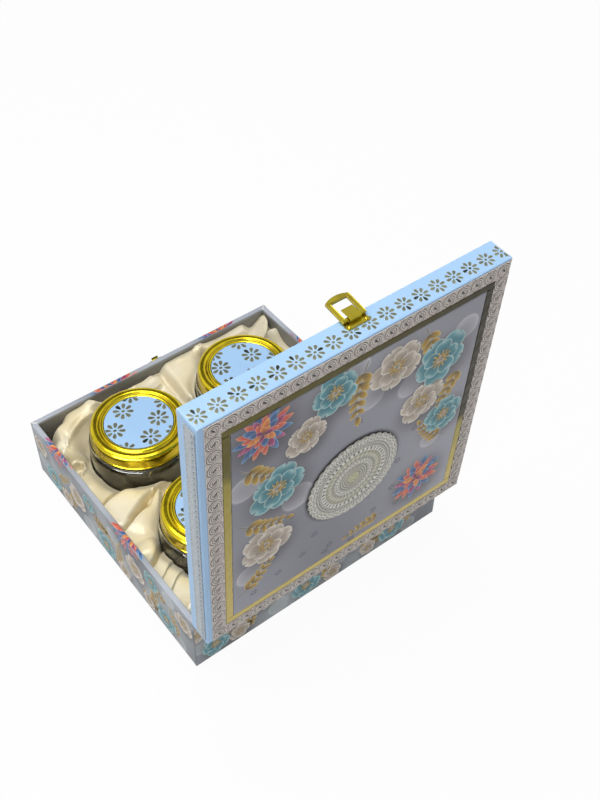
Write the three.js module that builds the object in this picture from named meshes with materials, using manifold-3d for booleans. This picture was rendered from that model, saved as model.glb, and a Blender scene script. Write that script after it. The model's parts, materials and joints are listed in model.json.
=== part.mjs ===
// Gift hamper box: a paper-covered board box with a hinged lid, a bunched satin lining and four lug-cap jars.
// Millimetres, +Z up. The origin is the middle of the underside, and the front, with the catch, faces -Y.
// The lid is drawn standing open on its stop, with its outside turned to +Y, as the box is displayed.

import * as THREE from 'three';
import { mergeVertices } from 'three/addons/utils/BufferGeometryUtils.js';
import Module from 'manifold-3d';

const wasm = await Module();
wasm.setup();

// Box boards
const BOX_WIDTH = 250;
const BOX_DEPTH = 250;
const BASE_HEIGHT = 63.4;
const LID_HEIGHT = 20.7;
const WALL_BOARD = 4.5;
const FLOOR_BOARD = 4;
const PANEL_BOARD = 4;
const EDGE_ROUND = 0.6;
const OPEN_ANGLE = THREE.MathUtils.degToRad(92.6);

// Clearances: between the two rims, at a seat or glue line, and round a piece that moves
const RIM_GAP = 0.3;
const SEAT_GAP = 0.3;
const RUN_GAP = 0.3;
const PIN_GAP = 0.1;

// Trim on the lid panel, measured in from the panel's edges
const LACE_WIDTH = 12;
const LACE_THICK = 0.8;
const LACE_INSET_RIGHT = 4.5;
const LACE_INSET_LEFT = 1;
const LACE_INSET_FRONT = 1;
const LACE_INSET_BACK = 0.5;
const FOIL_WIDTH = 6;
const FOIL_THICK = 0.5;
const PRINT_THICK = 0.4;
const MEDALLION_RADIUS = 41;
const MEDALLION_THICK = 1.5;
const MEDALLION_FROM_BACK = 108;
const SCALLOP_COUNT = 36;
const SCALLOP_DEPTH = 1.2;
const SCALLOP_POINTS = 4;
const SIDE_LACE_WIDTH = 11;
const SIDE_LACE_ABOVE_RIM = 8;

// Hinges: two butt hinges on the outside of the back walls, with a heel that stops the lid
const HINGE_FROM_SIDE = 45;
const LEAF_WIDTH = 26;
const LEAF_HEIGHT = 14;
const LEAF_THICK = 0.9;
const BARREL_RADIUS = 2;
const HINGE_PIN_RADIUS = 1;
const HINGE_PIN_OVERHANG = 0.6;
const MIDDLE_KNUCKLE = 12;
const HEEL_LENGTH = 4.4;
const HEEL_THICK = 0.8;

// Nails that hold the hinges, the catch and the hasp bracket
const NAIL_SHANK_RADIUS = 0.7;
const NAIL_HEAD_RADIUS = 1.3;
const NAIL_HEAD_HEIGHT = 0.8;
const NAIL_HEAD_ROUND = 0.25;
const NAIL_BITE = 3.2;
const LEAF_NAIL_SPACING = 16;
const LEAF_NAIL_FROM_RIM = 9;

// Hasp: a folded bracket on the lid, its hinged loop, and the catch on the base
const HASP_X = -3;
const HASP_SHEET = 0.7;
const HASP_AXIS_OUT = 2.7;
const HASP_AXIS_UP = 4.2;
const HASP_RAISED = THREE.MathUtils.degToRad(5);
const LOOP_WIDTH = 19;
const LOOP_BAR = 2.8;
const LOOP_THICK = 1.8;
const LOOP_ROUND = 0.4;
const LOOP_HINGE_BAR = 2.2;
const LOOP_WINDOW_LENGTH = 13.9;
const LOOP_CORNER_REACH = 17.4;
const LOOP_BOW_REACH = 19.6;
const TONGUE_WIDTH = 9;
const TONGUE_REACH = 7.4;
const FOLD_INNER_RADIUS = 1.6;
const BRACKET_WIDTH = 17.6;
const BRACKET_BELOW_AXIS = 3.2;
const BRACKET_ABOVE_AXIS = 6.1;
const BRACKET_NAIL_SPACING = 13.6;
const BRACKET_NAIL_ABOVE_AXIS = 4.2;
const CATCH_WIDTH = 12.8;
const CATCH_TOP_DROP = 1;
const CATCH_LENGTH = 11.5;
const CATCH_NOSE_WIDTH = 6.4;
const CATCH_NOSE_OUT = 2.7;
const CATCH_NOSE_HEIGHT = 5.4;
const CATCH_NOSE_UNDER_RIM = 10;
const CATCH_LIP_OUT = 2.6;
const CATCH_LIP_RISE = 0.8;
const CATCH_NAIL_SPACING = 10;
const CATCH_NAIL_UNDER_RIM = 6.2;

// Jars: squat glass with a lug cap, a sealing liner and a paper disc in the cap's recess
const JAR_PITCH = 110;
const JARS_RIGHT = 1;
const JARS_FORWARD = 2;
const JAR_RADIUS = 44.5;
const JAR_WALL = 3;
const JAR_BOTTOM = 4.5;
const JAR_FOOT_ROUND = 6;
const JAR_PUSH_UP = 0.8;
const JAR_NECK_RADIUS = 39;
const JAR_SHOULDER_UNDER_CAP = 1;
const CAP_HEADROOM = 0.9;
const CAP_HEIGHT = 14;
const CAP_SHEET = 0.8;
const CAP_SKIRT_GAP = 1.5;
const CAP_BEAD = 1.2;
const CAP_SHOULDER_ROUND = 3;
const CAP_RECESS_RADIUS = 29.6;
const CAP_RECESS_DEPTH = 1.4;
const CAP_RING_WIDTH = 3;
const LINER_THICK = 1;
const LABEL_THICK = 0.4;

// Satin lining: a floor layer under the jars and a bunched surface round them, a little below the rim
const SATIN_FLOOR = 2;
const SATIN_DROP = 17;
const SATIN_TOP_DROP = 4;
const SATIN_CLEARANCE = 0.9;
const SATIN_CELLS = 27;

const ROUND_SIDES = 28;
const SMALL_SIDES = 12;
const CURVE_STEPS = 8;
const MERGE = 1e-4;

// Places that the sizes above settle
const HALF_WIDTH = BOX_WIDTH / 2;
const HALF_DEPTH = BOX_DEPTH / 2;
const LID_RIM = BASE_HEIGHT + RIM_GAP;
const LID_TOP = LID_RIM + LID_HEIGHT;
const PANEL_UNDER = LID_TOP - PANEL_BOARD;
const HINGE_AXIS = new THREE.Vector3(0, HALF_DEPTH, BASE_HEIGHT + RIM_GAP / 2);
const JAR_FOOT = FLOOR_BOARD + SATIN_FLOOR + SEAT_GAP;
const CAP_BASE = PANEL_UNDER - CAP_HEADROOM - CAP_HEIGHT;
const CAP_UNDER = CAP_HEIGHT - CAP_RECESS_DEPTH - CAP_SHEET;
const GLASS_HEIGHT = CAP_BASE + CAP_UNDER - LINER_THICK - 2 * SEAT_GAP - JAR_FOOT;

const model = new THREE.Group();
const base = new THREE.Group();
const lid = new THREE.Group();
model.add(base);

// The lid's pieces are drawn closed, and their group is turned open about the hinge line.
const lidSwing = new THREE.Group();
lidSwing.position.copy(HINGE_AXIS);
lidSwing.rotation.x = -OPEN_ANGLE;
lid.position.copy(HINGE_AXIS).negate();
lidSwing.add(lid);
model.add(lidSwing);

function finish(color, roughness, metalness = 0) {
  return new THREE.MeshStandardMaterial({ color, roughness, metalness });
}

const printedPaper = finish(0x8f8f96, 0.6);
const bluePaper = finish(0xa9cdf0, 0.55);
const goldMetal = finish(0xc9a521, 0.25, 1);
const goldFoil = finish(0xb89a3c, 0.2, 1);
const laceTrim = finish(0xb9b4aa, 0.5, 0.2);
const ivoryDoily = finish(0xd9d4c0, 0.7);
const satin = finish(0xdecfa8, 0.35);
const clearGlass = finish(0x9aa09c, 0.05);
const sealCompound = finish(0xe8e4d8, 0.8);

// A surface with shared corners, no empty triangles and its faces turned outwards.
function closed(geometry) {
  const bare = geometry.clone();
  bare.deleteAttribute('normal');
  bare.deleteAttribute('uv');
  const merged = mergeVertices(bare, MERGE);
  const corners = merged.index.array;
  const kept = [];
  for (let i = 0; i < corners.length; i += 3) {
    const [a, b, c] = [corners[i], corners[i + 1], corners[i + 2]];
    if (a !== b && b !== c && c !== a) {
      kept.push(a, b, c);
    }
  }
  merged.setIndex(kept);
  if (signedVolume(merged) < 0) {
    merged.setIndex(kept.toReversed());
  }
  return merged;
}

function signedVolume(geometry) {
  const place = geometry.attributes.position;
  const corners = geometry.index.array;
  const [a, b, c] = [new THREE.Vector3(), new THREE.Vector3(), new THREE.Vector3()];
  let sum = 0;
  for (let i = 0; i < corners.length; i += 3) {
    a.fromBufferAttribute(place, corners[i]);
    b.fromBufferAttribute(place, corners[i + 1]);
    c.fromBufferAttribute(place, corners[i + 2]);
    sum += a.dot(b.cross(c)) / 6;
  }
  return sum;
}

function toSolid(geometry) {
  const shell = closed(geometry);
  const vertProperties = new Float32Array(shell.attributes.position.array);
  const triVerts = new Uint32Array(shell.index.array);
  return new wasm.Manifold(new wasm.Mesh({ numProp: 3, vertProperties, triVerts }));
}

function toGeometry(solid) {
  const { vertProperties, triVerts } = solid.getMesh();
  const geometry = new THREE.BufferGeometry();
  geometry.setAttribute('position', new THREE.BufferAttribute(vertProperties, 3));
  geometry.setIndex(new THREE.BufferAttribute(triVerts, 1));
  return geometry;
}

function cut(geometry, cutters) {
  return toGeometry(cutters.reduce((solid, cutter) => solid.subtract(toSolid(cutter)), toSolid(geometry)));
}

function join(geometry, additions) {
  return toGeometry(additions.reduce((solid, extra) => solid.add(toSolid(extra)), toSolid(geometry)));
}

function addPiece(group, name, geometry, material) {
  const piece = new THREE.Mesh(closed(geometry), material);
  piece.name = name;
  group.add(piece);
  return piece;
}

// A board with rounded edges: width along X, height along Z, thickness along Y, centred on its own middle.
function board(width, height, thickness) {
  const outline = new THREE.Shape();
  const halfWidth = width / 2 - EDGE_ROUND;
  const halfHeight = height / 2 - EDGE_ROUND;
  outline.moveTo(-halfWidth, -halfHeight);
  outline.lineTo(halfWidth, -halfHeight);
  outline.lineTo(halfWidth, halfHeight);
  outline.lineTo(-halfWidth, halfHeight);
  const geometry = new THREE.ExtrudeGeometry(outline, {
    depth: thickness - 2 * EDGE_ROUND,
    bevelEnabled: true,
    bevelSize: EDGE_ROUND,
    bevelThickness: EDGE_ROUND,
    bevelSegments: 2,
  });
  geometry.translate(0, 0, EDGE_ROUND - thickness / 2);
  return geometry.rotateX(Math.PI / 2);
}

// A thin sheet lying flat: from one corner to the opposite one, with its underside at the given height.
function flatSheet(x0, y0, x1, y1, under, thickness) {
  const geometry = new THREE.BoxGeometry(x1 - x0, y1 - y0, thickness);
  return geometry.translate((x0 + x1) / 2, (y0 + y1) / 2, under + thickness / 2);
}

// A rod along X.
function rodX(radius, x0, x1, y, z, sides = SMALL_SIDES) {
  const geometry = new THREE.CylinderGeometry(radius, radius, x1 - x0, sides);
  return geometry.rotateZ(Math.PI / 2).translate((x0 + x1) / 2, y, z);
}

// A rod along Y.
function rodY(radius, x, y0, y1, z) {
  return new THREE.CylinderGeometry(radius, radius, y1 - y0, SMALL_SIDES).translate(x, (y0 + y1) / 2, z);
}

// Points on an arc, from one angle to another in degrees.
function arc(centreX, centreY, radius, fromDegrees, toDegrees, steps) {
  return Array.from({ length: steps + 1 }, (_, i) => {
    const angle = THREE.MathUtils.degToRad(fromDegrees + ((toDegrees - fromDegrees) * i) / steps);
    return new THREE.Vector2(centreX + radius * Math.cos(angle), centreY + radius * Math.sin(angle));
  });
}

// A profile of radius and height, turned about the upright axis.
function turned(profile, sides = ROUND_SIDES) {
  return new THREE.LatheGeometry(profile, sides).rotateX(Math.PI / 2);
}

// A round-headed nail: the head's underside sits on the given face, and outward is +1 for +Y or -1 for -Y.
function nail(x, face, z, outward) {
  const profile = [
    new THREE.Vector2(0, -NAIL_BITE),
    new THREE.Vector2(NAIL_SHANK_RADIUS, -NAIL_BITE + NAIL_SHANK_RADIUS),
    new THREE.Vector2(NAIL_SHANK_RADIUS, SEAT_GAP / 2),
    new THREE.Vector2(NAIL_HEAD_RADIUS, SEAT_GAP / 2),
    new THREE.Vector2(NAIL_HEAD_RADIUS - NAIL_HEAD_ROUND, NAIL_HEAD_HEIGHT - NAIL_HEAD_ROUND),
    new THREE.Vector2(0, NAIL_HEAD_HEIGHT),
  ];
  const geometry = new THREE.LatheGeometry(profile, SMALL_SIDES);
  if (outward < 0) {
    geometry.rotateX(Math.PI);
  }
  return geometry.translate(x, face, z);
}

// The hole that a nail goes into, through everything near the given face.
function nailHole(x, face, z) {
  const reach = NAIL_BITE + RUN_GAP;
  return rodY(NAIL_SHANK_RADIUS + PIN_GAP, x, face - reach, face + reach, z);
}

// Base: a floor board inside four walls
const innerWidth = BOX_WIDTH - 2 * WALL_BOARD;
const innerDepth = BOX_DEPTH - 2 * WALL_BOARD;
const hingeXs = [HINGE_FROM_SIDE - HALF_WIDTH, HALF_WIDTH - HINGE_FROM_SIDE];
const leafNailXs = hingeXs.flatMap((x) => [x - LEAF_NAIL_SPACING / 2, x + LEAF_NAIL_SPACING / 2]);
const catchNailXs = [HASP_X - CATCH_NAIL_SPACING / 2, HASP_X + CATCH_NAIL_SPACING / 2];
const bracketNailXs = [HASP_X - BRACKET_NAIL_SPACING / 2, HASP_X + BRACKET_NAIL_SPACING / 2];
const leafFace = HALF_DEPTH + LEAF_THICK;
const frontFace = -HALF_DEPTH;
const sheetFace = frontFace - HASP_SHEET;
const baseLeafNailZ = BASE_HEIGHT - LEAF_NAIL_FROM_RIM;
const lidLeafNailZ = LID_RIM + LEAF_NAIL_FROM_RIM;
const catchNailZ = BASE_HEIGHT - CATCH_NAIL_UNDER_RIM;
const haspAxisZ = LID_RIM + HASP_AXIS_UP;
const bracketNailZ = haspAxisZ + BRACKET_NAIL_ABOVE_AXIS;

// The groove that a hinge's barrel lies in, half in each back wall.
function barrelGroove(x) {
  const half = LEAF_WIDTH / 2 + HINGE_PIN_OVERHANG + RUN_GAP;
  return rodX(BARREL_RADIUS + RUN_GAP, x - half, x + half, HINGE_AXIS.y, HINGE_AXIS.z, ROUND_SIDES);
}

const floor = flatSheet(-innerWidth / 2, -innerDepth / 2, innerWidth / 2, innerDepth / 2, 0, FLOOR_BOARD);
addPiece(base, 'base_floor', floor, printedPaper);

const wallMiddle = HALF_DEPTH - WALL_BOARD / 2;
const frontWall = board(BOX_WIDTH, BASE_HEIGHT, WALL_BOARD).translate(0, -wallMiddle, BASE_HEIGHT / 2);
const catchHoles = catchNailXs.map((x) => nailHole(x, sheetFace, catchNailZ));
addPiece(base, 'base_front_wall', cut(frontWall, catchHoles), printedPaper);

const backWall = board(BOX_WIDTH, BASE_HEIGHT, WALL_BOARD).translate(0, wallMiddle, BASE_HEIGHT / 2);
addPiece(base, 'base_back_wall', cut(backWall, [
  ...hingeXs.map(barrelGroove),
  ...leafNailXs.map((x) => nailHole(x, leafFace, baseLeafNailZ)),
]), printedPaper);

for (const [name, side] of [['base_left_wall', -1], ['base_right_wall', 1]]) {
  const wall = board(innerDepth, BASE_HEIGHT, WALL_BOARD).rotateZ(Math.PI / 2);
  wall.translate(side * (HALF_WIDTH - WALL_BOARD / 2), 0, BASE_HEIGHT / 2);
  addPiece(base, name, wall, printedPaper);
}

// Satin lining: main folds, each a curve on the plan with a height over the mean level and a half-width
const SATIN_FOLDS = [
  { from: [76, -117], bend: [100, -116], to: [118, -94], rise: 12, spread: 10 },
  { from: [84, -104], bend: [101, -99], to: [116, -82], rise: 8, spread: 8 },
  { from: [119, -76], bend: [104, -74], to: [112, -62], rise: 6, spread: 7 },
  { from: [119, -3], bend: [92, -13], to: [50, -15], rise: 13, spread: 11 },
  { from: [119, 36], bend: [99, 17], to: [74, 0], rise: 12, spread: 10 },
  { from: [119, 57], bend: [110, 52], to: [98, 45], rise: 8, spread: 7 },
  { from: [119, 84], bend: [110, 79], to: [99, 73], rise: 8, spread: 8 },
  { from: [118, 112], bend: [104, 108], to: [84, 114], rise: 10, spread: 10 },
  { from: [-44, -118], bend: [-16, -119], to: [5, -112], rise: 13, spread: 13 },
  { from: [6, -117], bend: [2, -99], to: [5, -76], rise: 11, spread: 9 },
  { from: [46, -118], bend: [58, -112], to: [72, -117], rise: 6, spread: 8 },
  { from: [-119, -117], bend: [-112, -108], to: [-102, -96], rise: 13, spread: 8 },
  { from: [-86, -118], bend: [-70, -110], to: [-58, -116], rise: 10, spread: 9 },
  { from: [-119, -70], bend: [-106, -60], to: [-117, -40], rise: 8, spread: 8 },
  { from: [-119, -6], bend: [-90, 8], to: [-52, -4], rise: 11, spread: 11 },
  { from: [-119, 44], bend: [-108, 52], to: [-116, 74], rise: 9, spread: 8 },
  { from: [-118, 112], bend: [-104, 104], to: [-88, 116], rise: 11, spread: 10 },
  { from: [-12, 118], bend: [4, 100], to: [-4, 72], rise: 11, spread: 10 },
  { from: [28, 118], bend: [22, 104], to: [14, 92], rise: 8, spread: 8 },
  { from: [-40, 118], bend: [-30, 112], to: [-18, 92], rise: 8, spread: 8 },
  { from: [-20, -30], bend: [2, -6], to: [24, 26], rise: 9, spread: 10 },
  { from: [-4, -62], bend: [6, -40], to: [-2, -22], rise: 8, spread: 9 },
];
const FOLD_STEPS = 12;

for (const fold of SATIN_FOLDS) {
  const [from, bend, to] = [fold.from, fold.bend, fold.to].map((point) => new THREE.Vector2(...point));
  fold.path = new THREE.QuadraticBezierCurve(from, bend, to).getPoints(FOLD_STEPS);
}

function foldHeight(point, { path, rise, spread }) {
  const away = Math.min(...path.map((spot) => spot.distanceTo(point)));
  return rise * Math.exp(-((away / spread) ** 2));
}

function satinTop(x, y) {
  const point = new THREE.Vector2(x, y);
  const folds = SATIN_FOLDS.reduce((sum, fold) => sum + foldHeight(point, fold), 0);
  return Math.min(BASE_HEIGHT - SATIN_DROP + folds, BASE_HEIGHT - SATIN_TOP_DROP);
}

// A bunched block: a grid for the folded top, a skirt down to the floor and a flat underside.
function satinBlock() {
  const width = innerWidth - 2 * SEAT_GAP;
  const depth = innerDepth - 2 * SEAT_GAP;
  const row = SATIN_CELLS + 1;
  const places = [];
  const faces = [];
  for (let j = 0; j < row; j++) {
    for (let i = 0; i < row; i++) {
      const x = width * (i / SATIN_CELLS - 0.5);
      const y = depth * (j / SATIN_CELLS - 0.5);
      places.push(x, y, satinTop(x, y));
    }
  }
  for (let j = 0; j < SATIN_CELLS; j++) {
    for (let i = 0; i < SATIN_CELLS; i++) {
      const a = j * row + i;
      faces.push(a, a + 1, a + row + 1, a, a + row + 1, a + row);
    }
  }
  const steps = Array.from({ length: SATIN_CELLS }, (_, i) => i);
  const rim = [
    ...steps.map((i) => i),
    ...steps.map((i) => i * row + SATIN_CELLS),
    ...steps.map((i) => row * row - 1 - i),
    ...steps.map((i) => (SATIN_CELLS - i) * row),
  ];
  const firstLow = places.length / 3;
  for (const corner of rim) {
    places.push(places[3 * corner], places[3 * corner + 1], FLOOR_BOARD);
  }
  const middle = places.length / 3;
  places.push(0, 0, FLOOR_BOARD);
  rim.forEach((corner, i) => {
    const next = (i + 1) % rim.length;
    faces.push(corner, firstLow + i, rim[next], rim[next], firstLow + i, firstLow + next);
    faces.push(firstLow + i, middle, firstLow + next);
  });
  const geometry = new THREE.BufferGeometry();
  geometry.setAttribute('position', new THREE.Float32BufferAttribute(places, 3));
  geometry.setIndex(faces);
  return geometry;
}

// Two by two, set a little to the right and forward of the box's middle
const jarPlaces = [[1, -1], [-1, -1], [1, 1], [-1, 1]].map(([right, back]) => [
  JARS_RIGHT + (right * JAR_PITCH) / 2,
  (back * JAR_PITCH) / 2 - JARS_FORWARD,
]);

const jarWells = jarPlaces.map(([x, y]) => {
  const under = FLOOR_BOARD + SATIN_FLOOR;
  const radius = JAR_RADIUS + SATIN_CLEARANCE;
  const well = new THREE.CylinderGeometry(radius, radius, BASE_HEIGHT, ROUND_SIDES).rotateX(Math.PI / 2);
  return well.translate(x, y, under + BASE_HEIGHT / 2);
});
addPiece(base, 'satin_lining', cut(satinBlock(), jarWells), satin);

// Jars
function glassProfile() {
  const shoulderTop = CAP_BASE - JAR_SHOULDER_UNDER_CAP - JAR_FOOT;
  const shoulderRound = JAR_RADIUS - JAR_NECK_RADIUS;
  const innerFoot = Math.max(JAR_FOOT_ROUND - JAR_WALL, JAR_WALL / 2);
  const innerRadius = JAR_RADIUS - JAR_WALL;
  const mouthRadius = JAR_NECK_RADIUS - JAR_WALL;
  const lip = JAR_WALL / 2;
  return [
    new THREE.Vector2(0, JAR_PUSH_UP),
    new THREE.Vector2(JAR_RADIUS - JAR_FOOT_ROUND - 2 * JAR_WALL, JAR_PUSH_UP),
    ...arc(JAR_RADIUS - JAR_FOOT_ROUND, JAR_FOOT_ROUND, JAR_FOOT_ROUND, -90, 0, 2),
    ...arc(JAR_NECK_RADIUS, shoulderTop - shoulderRound, shoulderRound, 0, 90, 3),
    ...arc(JAR_NECK_RADIUS - lip, GLASS_HEIGHT - lip, lip, 0, 180, 2),
    ...arc(mouthRadius, shoulderTop - shoulderRound - JAR_WALL / 2, shoulderRound, 90, 0, 2),
    ...arc(innerRadius - innerFoot, JAR_BOTTOM + innerFoot, innerFoot, 0, -90, 1),
    new THREE.Vector2(0, JAR_BOTTOM),
  ];
}

// The cap, from the middle of its recess out over the ring, down the skirt to the rolled bead and back inside.
function capProfile() {
  const skirtInner = JAR_NECK_RADIUS + CAP_SKIRT_GAP;
  const skirtOuter = skirtInner + CAP_SHEET;
  const recessFloor = CAP_HEIGHT - CAP_RECESS_DEPTH;
  const ringInner = skirtOuter - CAP_SHOULDER_ROUND - CAP_RING_WIDTH / 2;
  const grooveRadius = (CAP_RECESS_RADIUS + ringInner) / 2 + CAP_SHEET / 2;
  return [
    new THREE.Vector2(0, recessFloor),
    new THREE.Vector2(CAP_RECESS_RADIUS, recessFloor),
    new THREE.Vector2(CAP_RECESS_RADIUS + CAP_SHEET / 2, CAP_HEIGHT - CAP_SHEET / 2),
    new THREE.Vector2(grooveRadius - CAP_SHEET, CAP_HEIGHT - CAP_SHEET / 2),
    new THREE.Vector2(grooveRadius, CAP_HEIGHT - CAP_SHEET),
    new THREE.Vector2(ringInner, CAP_HEIGHT),
    ...arc(skirtOuter - CAP_SHOULDER_ROUND, CAP_HEIGHT - CAP_SHOULDER_ROUND, CAP_SHOULDER_ROUND, 90, 0, 3),
    ...arc(skirtOuter, CAP_BEAD, CAP_BEAD, 90, -90, 4),
    new THREE.Vector2(skirtInner, CAP_SHEET / 2),
    new THREE.Vector2(skirtInner, CAP_UNDER - CAP_SHEET),
    new THREE.Vector2(skirtInner - CAP_SHEET, CAP_UNDER),
    new THREE.Vector2(0, CAP_UNDER),
  ];
}

// A flat ring with its underside at the given height.
function flatRing(innerRadius, outerRadius, under, thickness) {
  const top = under + thickness;
  return turned([
    new THREE.Vector2(innerRadius, under),
    new THREE.Vector2(outerRadius, under),
    new THREE.Vector2(outerRadius, top),
    new THREE.Vector2(innerRadius, top),
    new THREE.Vector2(innerRadius, under),
  ]);
}

jarPlaces.forEach(([x, y], index) => {
  const jar = new THREE.Group();
  jar.position.set(x, y, JAR_FOOT);
  base.add(jar);
  const cap = new THREE.Group();
  cap.position.z = CAP_BASE - JAR_FOOT;
  jar.add(cap);
  const name = `jar_${index + 1}`;
  addPiece(jar, `${name}_glass`, turned(glassProfile()), clearGlass);
  const linerOuter = JAR_NECK_RADIUS + CAP_SKIRT_GAP - CAP_SHEET - SEAT_GAP;
  const linerUnder = CAP_UNDER - SEAT_GAP - LINER_THICK;
  const liner = flatRing(JAR_NECK_RADIUS - JAR_WALL, linerOuter, linerUnder, LINER_THICK);
  addPiece(cap, `${name}_liner`, liner, sealCompound);
  addPiece(cap, `${name}_cap`, turned(capProfile()), goldMetal);
  const labelRadius = CAP_RECESS_RADIUS - RUN_GAP;
  const label = new THREE.CylinderGeometry(labelRadius, labelRadius, LABEL_THICK, ROUND_SIDES);
  label.rotateX(Math.PI / 2);
  label.translate(0, 0, CAP_HEIGHT - CAP_RECESS_DEPTH + SEAT_GAP + LABEL_THICK / 2);
  addPiece(cap, `${name}_label`, label, bluePaper);
});

// Lid: a panel glued on four walls
const lidWallHeight = LID_HEIGHT - PANEL_BOARD - SEAT_GAP;
const lidWallMiddle = LID_RIM + lidWallHeight / 2;
const lidPanel = board(BOX_WIDTH, BOX_DEPTH, PANEL_BOARD).rotateX(Math.PI / 2);
addPiece(lid, 'lid_top_panel', lidPanel.translate(0, 0, LID_TOP - PANEL_BOARD / 2), bluePaper);

const lidFront = board(BOX_WIDTH, lidWallHeight, WALL_BOARD).translate(0, -wallMiddle, lidWallMiddle);
const bracketHoles = bracketNailXs.map((x) => nailHole(x, sheetFace, bracketNailZ));
addPiece(lid, 'lid_front_wall', cut(lidFront, bracketHoles), bluePaper);

const lidBack = board(BOX_WIDTH, lidWallHeight, WALL_BOARD).translate(0, wallMiddle, lidWallMiddle);
addPiece(lid, 'lid_back_wall', cut(lidBack, [
  ...hingeXs.map(barrelGroove),
  ...leafNailXs.map((x) => nailHole(x, leafFace, lidLeafNailZ)),
]), bluePaper);

for (const [name, side] of [['lid_left_wall', -1], ['lid_right_wall', 1]]) {
  const wall = board(innerDepth - 2 * SEAT_GAP, lidWallHeight, WALL_BOARD).rotateZ(Math.PI / 2);
  wall.translate(side * (HALF_WIDTH - WALL_BOARD / 2), 0, lidWallMiddle);
  addPiece(lid, name, wall, bluePaper);
}

// Lid trim: four lace strips, four foil strips inside them, the printed sheet and the doily medallion
const trimUnder = LID_TOP + SEAT_GAP;
const laceBox = {
  left: -HALF_WIDTH + LACE_INSET_LEFT,
  right: HALF_WIDTH - LACE_INSET_RIGHT,
  front: -HALF_DEPTH + LACE_INSET_FRONT,
  back: HALF_DEPTH - LACE_INSET_BACK,
};

function insetBox(box, inset) {
  return {
    left: box.left + inset,
    right: box.right - inset,
    front: box.front + inset,
    back: box.back - inset,
  };
}

// Four strips round a box: the front and back ones run right across, the side ones fit between them.
function stripFrame(label, box, width, thickness, material) {
  const inner = insetBox(box, width);
  const between = insetBox(box, width + SEAT_GAP);
  const strips = {
    front: [box.left, box.front, box.right, inner.front],
    back: [box.left, inner.back, box.right, box.back],
    left: [box.left, between.front, inner.left, between.back],
    right: [inner.right, between.front, box.right, between.back],
  };
  for (const [side, corners] of Object.entries(strips)) {
    addPiece(lid, `${label}_${side}`, flatSheet(...corners, trimUnder, thickness), material);
  }
}

const foilBox = insetBox(laceBox, LACE_WIDTH + SEAT_GAP);
const printBox = insetBox(foilBox, FOIL_WIDTH + SEAT_GAP);
const printTop = trimUnder + PRINT_THICK;
stripFrame('lace_strip', laceBox, LACE_WIDTH, LACE_THICK, laceTrim);
stripFrame('foil_strip', foilBox, FOIL_WIDTH, FOIL_THICK, goldFoil);
const { left, right, front, back } = printBox;
addPiece(lid, 'printed_sheet', flatSheet(left, front, right, back, trimUnder, PRINT_THICK), printedPaper);

function doilyOutline() {
  const count = SCALLOP_COUNT * SCALLOP_POINTS;
  const rim = Array.from({ length: count }, (_, i) => {
    const angle = (2 * Math.PI * i) / count;
    const swell = Math.abs(Math.sin((angle * SCALLOP_COUNT) / 2));
    const radius = MEDALLION_RADIUS - SCALLOP_DEPTH * (1 - swell);
    return new THREE.Vector2(radius * Math.cos(angle), radius * Math.sin(angle));
  });
  return new THREE.Shape(rim);
}

const medallion = new THREE.ExtrudeGeometry(doilyOutline(), { depth: MEDALLION_THICK, bevelEnabled: false });
medallion.translate((left + right) / 2, HALF_DEPTH - MEDALLION_FROM_BACK, printTop + SEAT_GAP);
addPiece(lid, 'doily_medallion', medallion, ivoryDoily);

for (const [name, side] of [['side_lace_left', -1], ['side_lace_right', 1]]) {
  const strip = new THREE.BoxGeometry(LACE_THICK, BOX_DEPTH - 2 * WALL_BOARD, SIDE_LACE_WIDTH);
  const out = HALF_WIDTH + SEAT_GAP + LACE_THICK / 2;
  strip.translate(side * out, 0, LID_RIM + SIDE_LACE_ABOVE_RIM + SIDE_LACE_WIDTH / 2);
  addPiece(lid, name, strip, laceTrim);
}

// Hinges: the base leaf has the two outer knuckles, the lid leaf the middle one and the stop heel
const barrelHalf = LEAF_WIDTH / 2;
const pinHalf = barrelHalf + HINGE_PIN_OVERHANG;
const middleHalf = MIDDLE_KNUCKLE / 2;
const pinHole = HINGE_PIN_RADIUS + PIN_GAP;
const leafStart = RUN_GAP / 2;

function leafPlate(x, lower, upper) {
  const plate = new THREE.BoxGeometry(LEAF_WIDTH, LEAF_THICK, upper - lower);
  return plate.translate(x, HALF_DEPTH + SEAT_GAP + LEAF_THICK / 2, (lower + upper) / 2);
}

function barrelRod(x, from, to, radius) {
  return rodX(radius, x + from, x + to, HINGE_AXIS.y, HINGE_AXIS.z, ROUND_SIDES / 2);
}

function baseLeaf(x) {
  const plate = leafPlate(x, BASE_HEIGHT - LEAF_HEIGHT, HINGE_AXIS.z - leafStart);
  const knuckles = [
    barrelRod(x, -barrelHalf, -middleHalf - RUN_GAP, BARREL_RADIUS),
    barrelRod(x, middleHalf + RUN_GAP, barrelHalf, BARREL_RADIUS),
  ];
  return cut(join(plate, knuckles), [
    barrelRod(x, -pinHalf, pinHalf, pinHole),
    barrelRod(x, -middleHalf - RUN_GAP, middleHalf + RUN_GAP, BARREL_RADIUS + RUN_GAP),
    ...leafNailXs.map((nailX) => nailHole(nailX, leafFace, baseLeafNailZ)),
  ]);
}

// The heel lies along the base leaf's outer face when the lid stands open.
function stopHeel(x) {
  const heel = new THREE.BoxGeometry(MIDDLE_KNUCKLE, HEEL_THICK, HEEL_LENGTH);
  const clear = SEAT_GAP + LEAF_THICK + RUN_GAP;
  heel.translate(x, clear + HEEL_THICK / 2, -HEEL_LENGTH / 2);
  return heel.rotateX(OPEN_ANGLE).translate(0, HINGE_AXIS.y, HINGE_AXIS.z);
}

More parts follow.
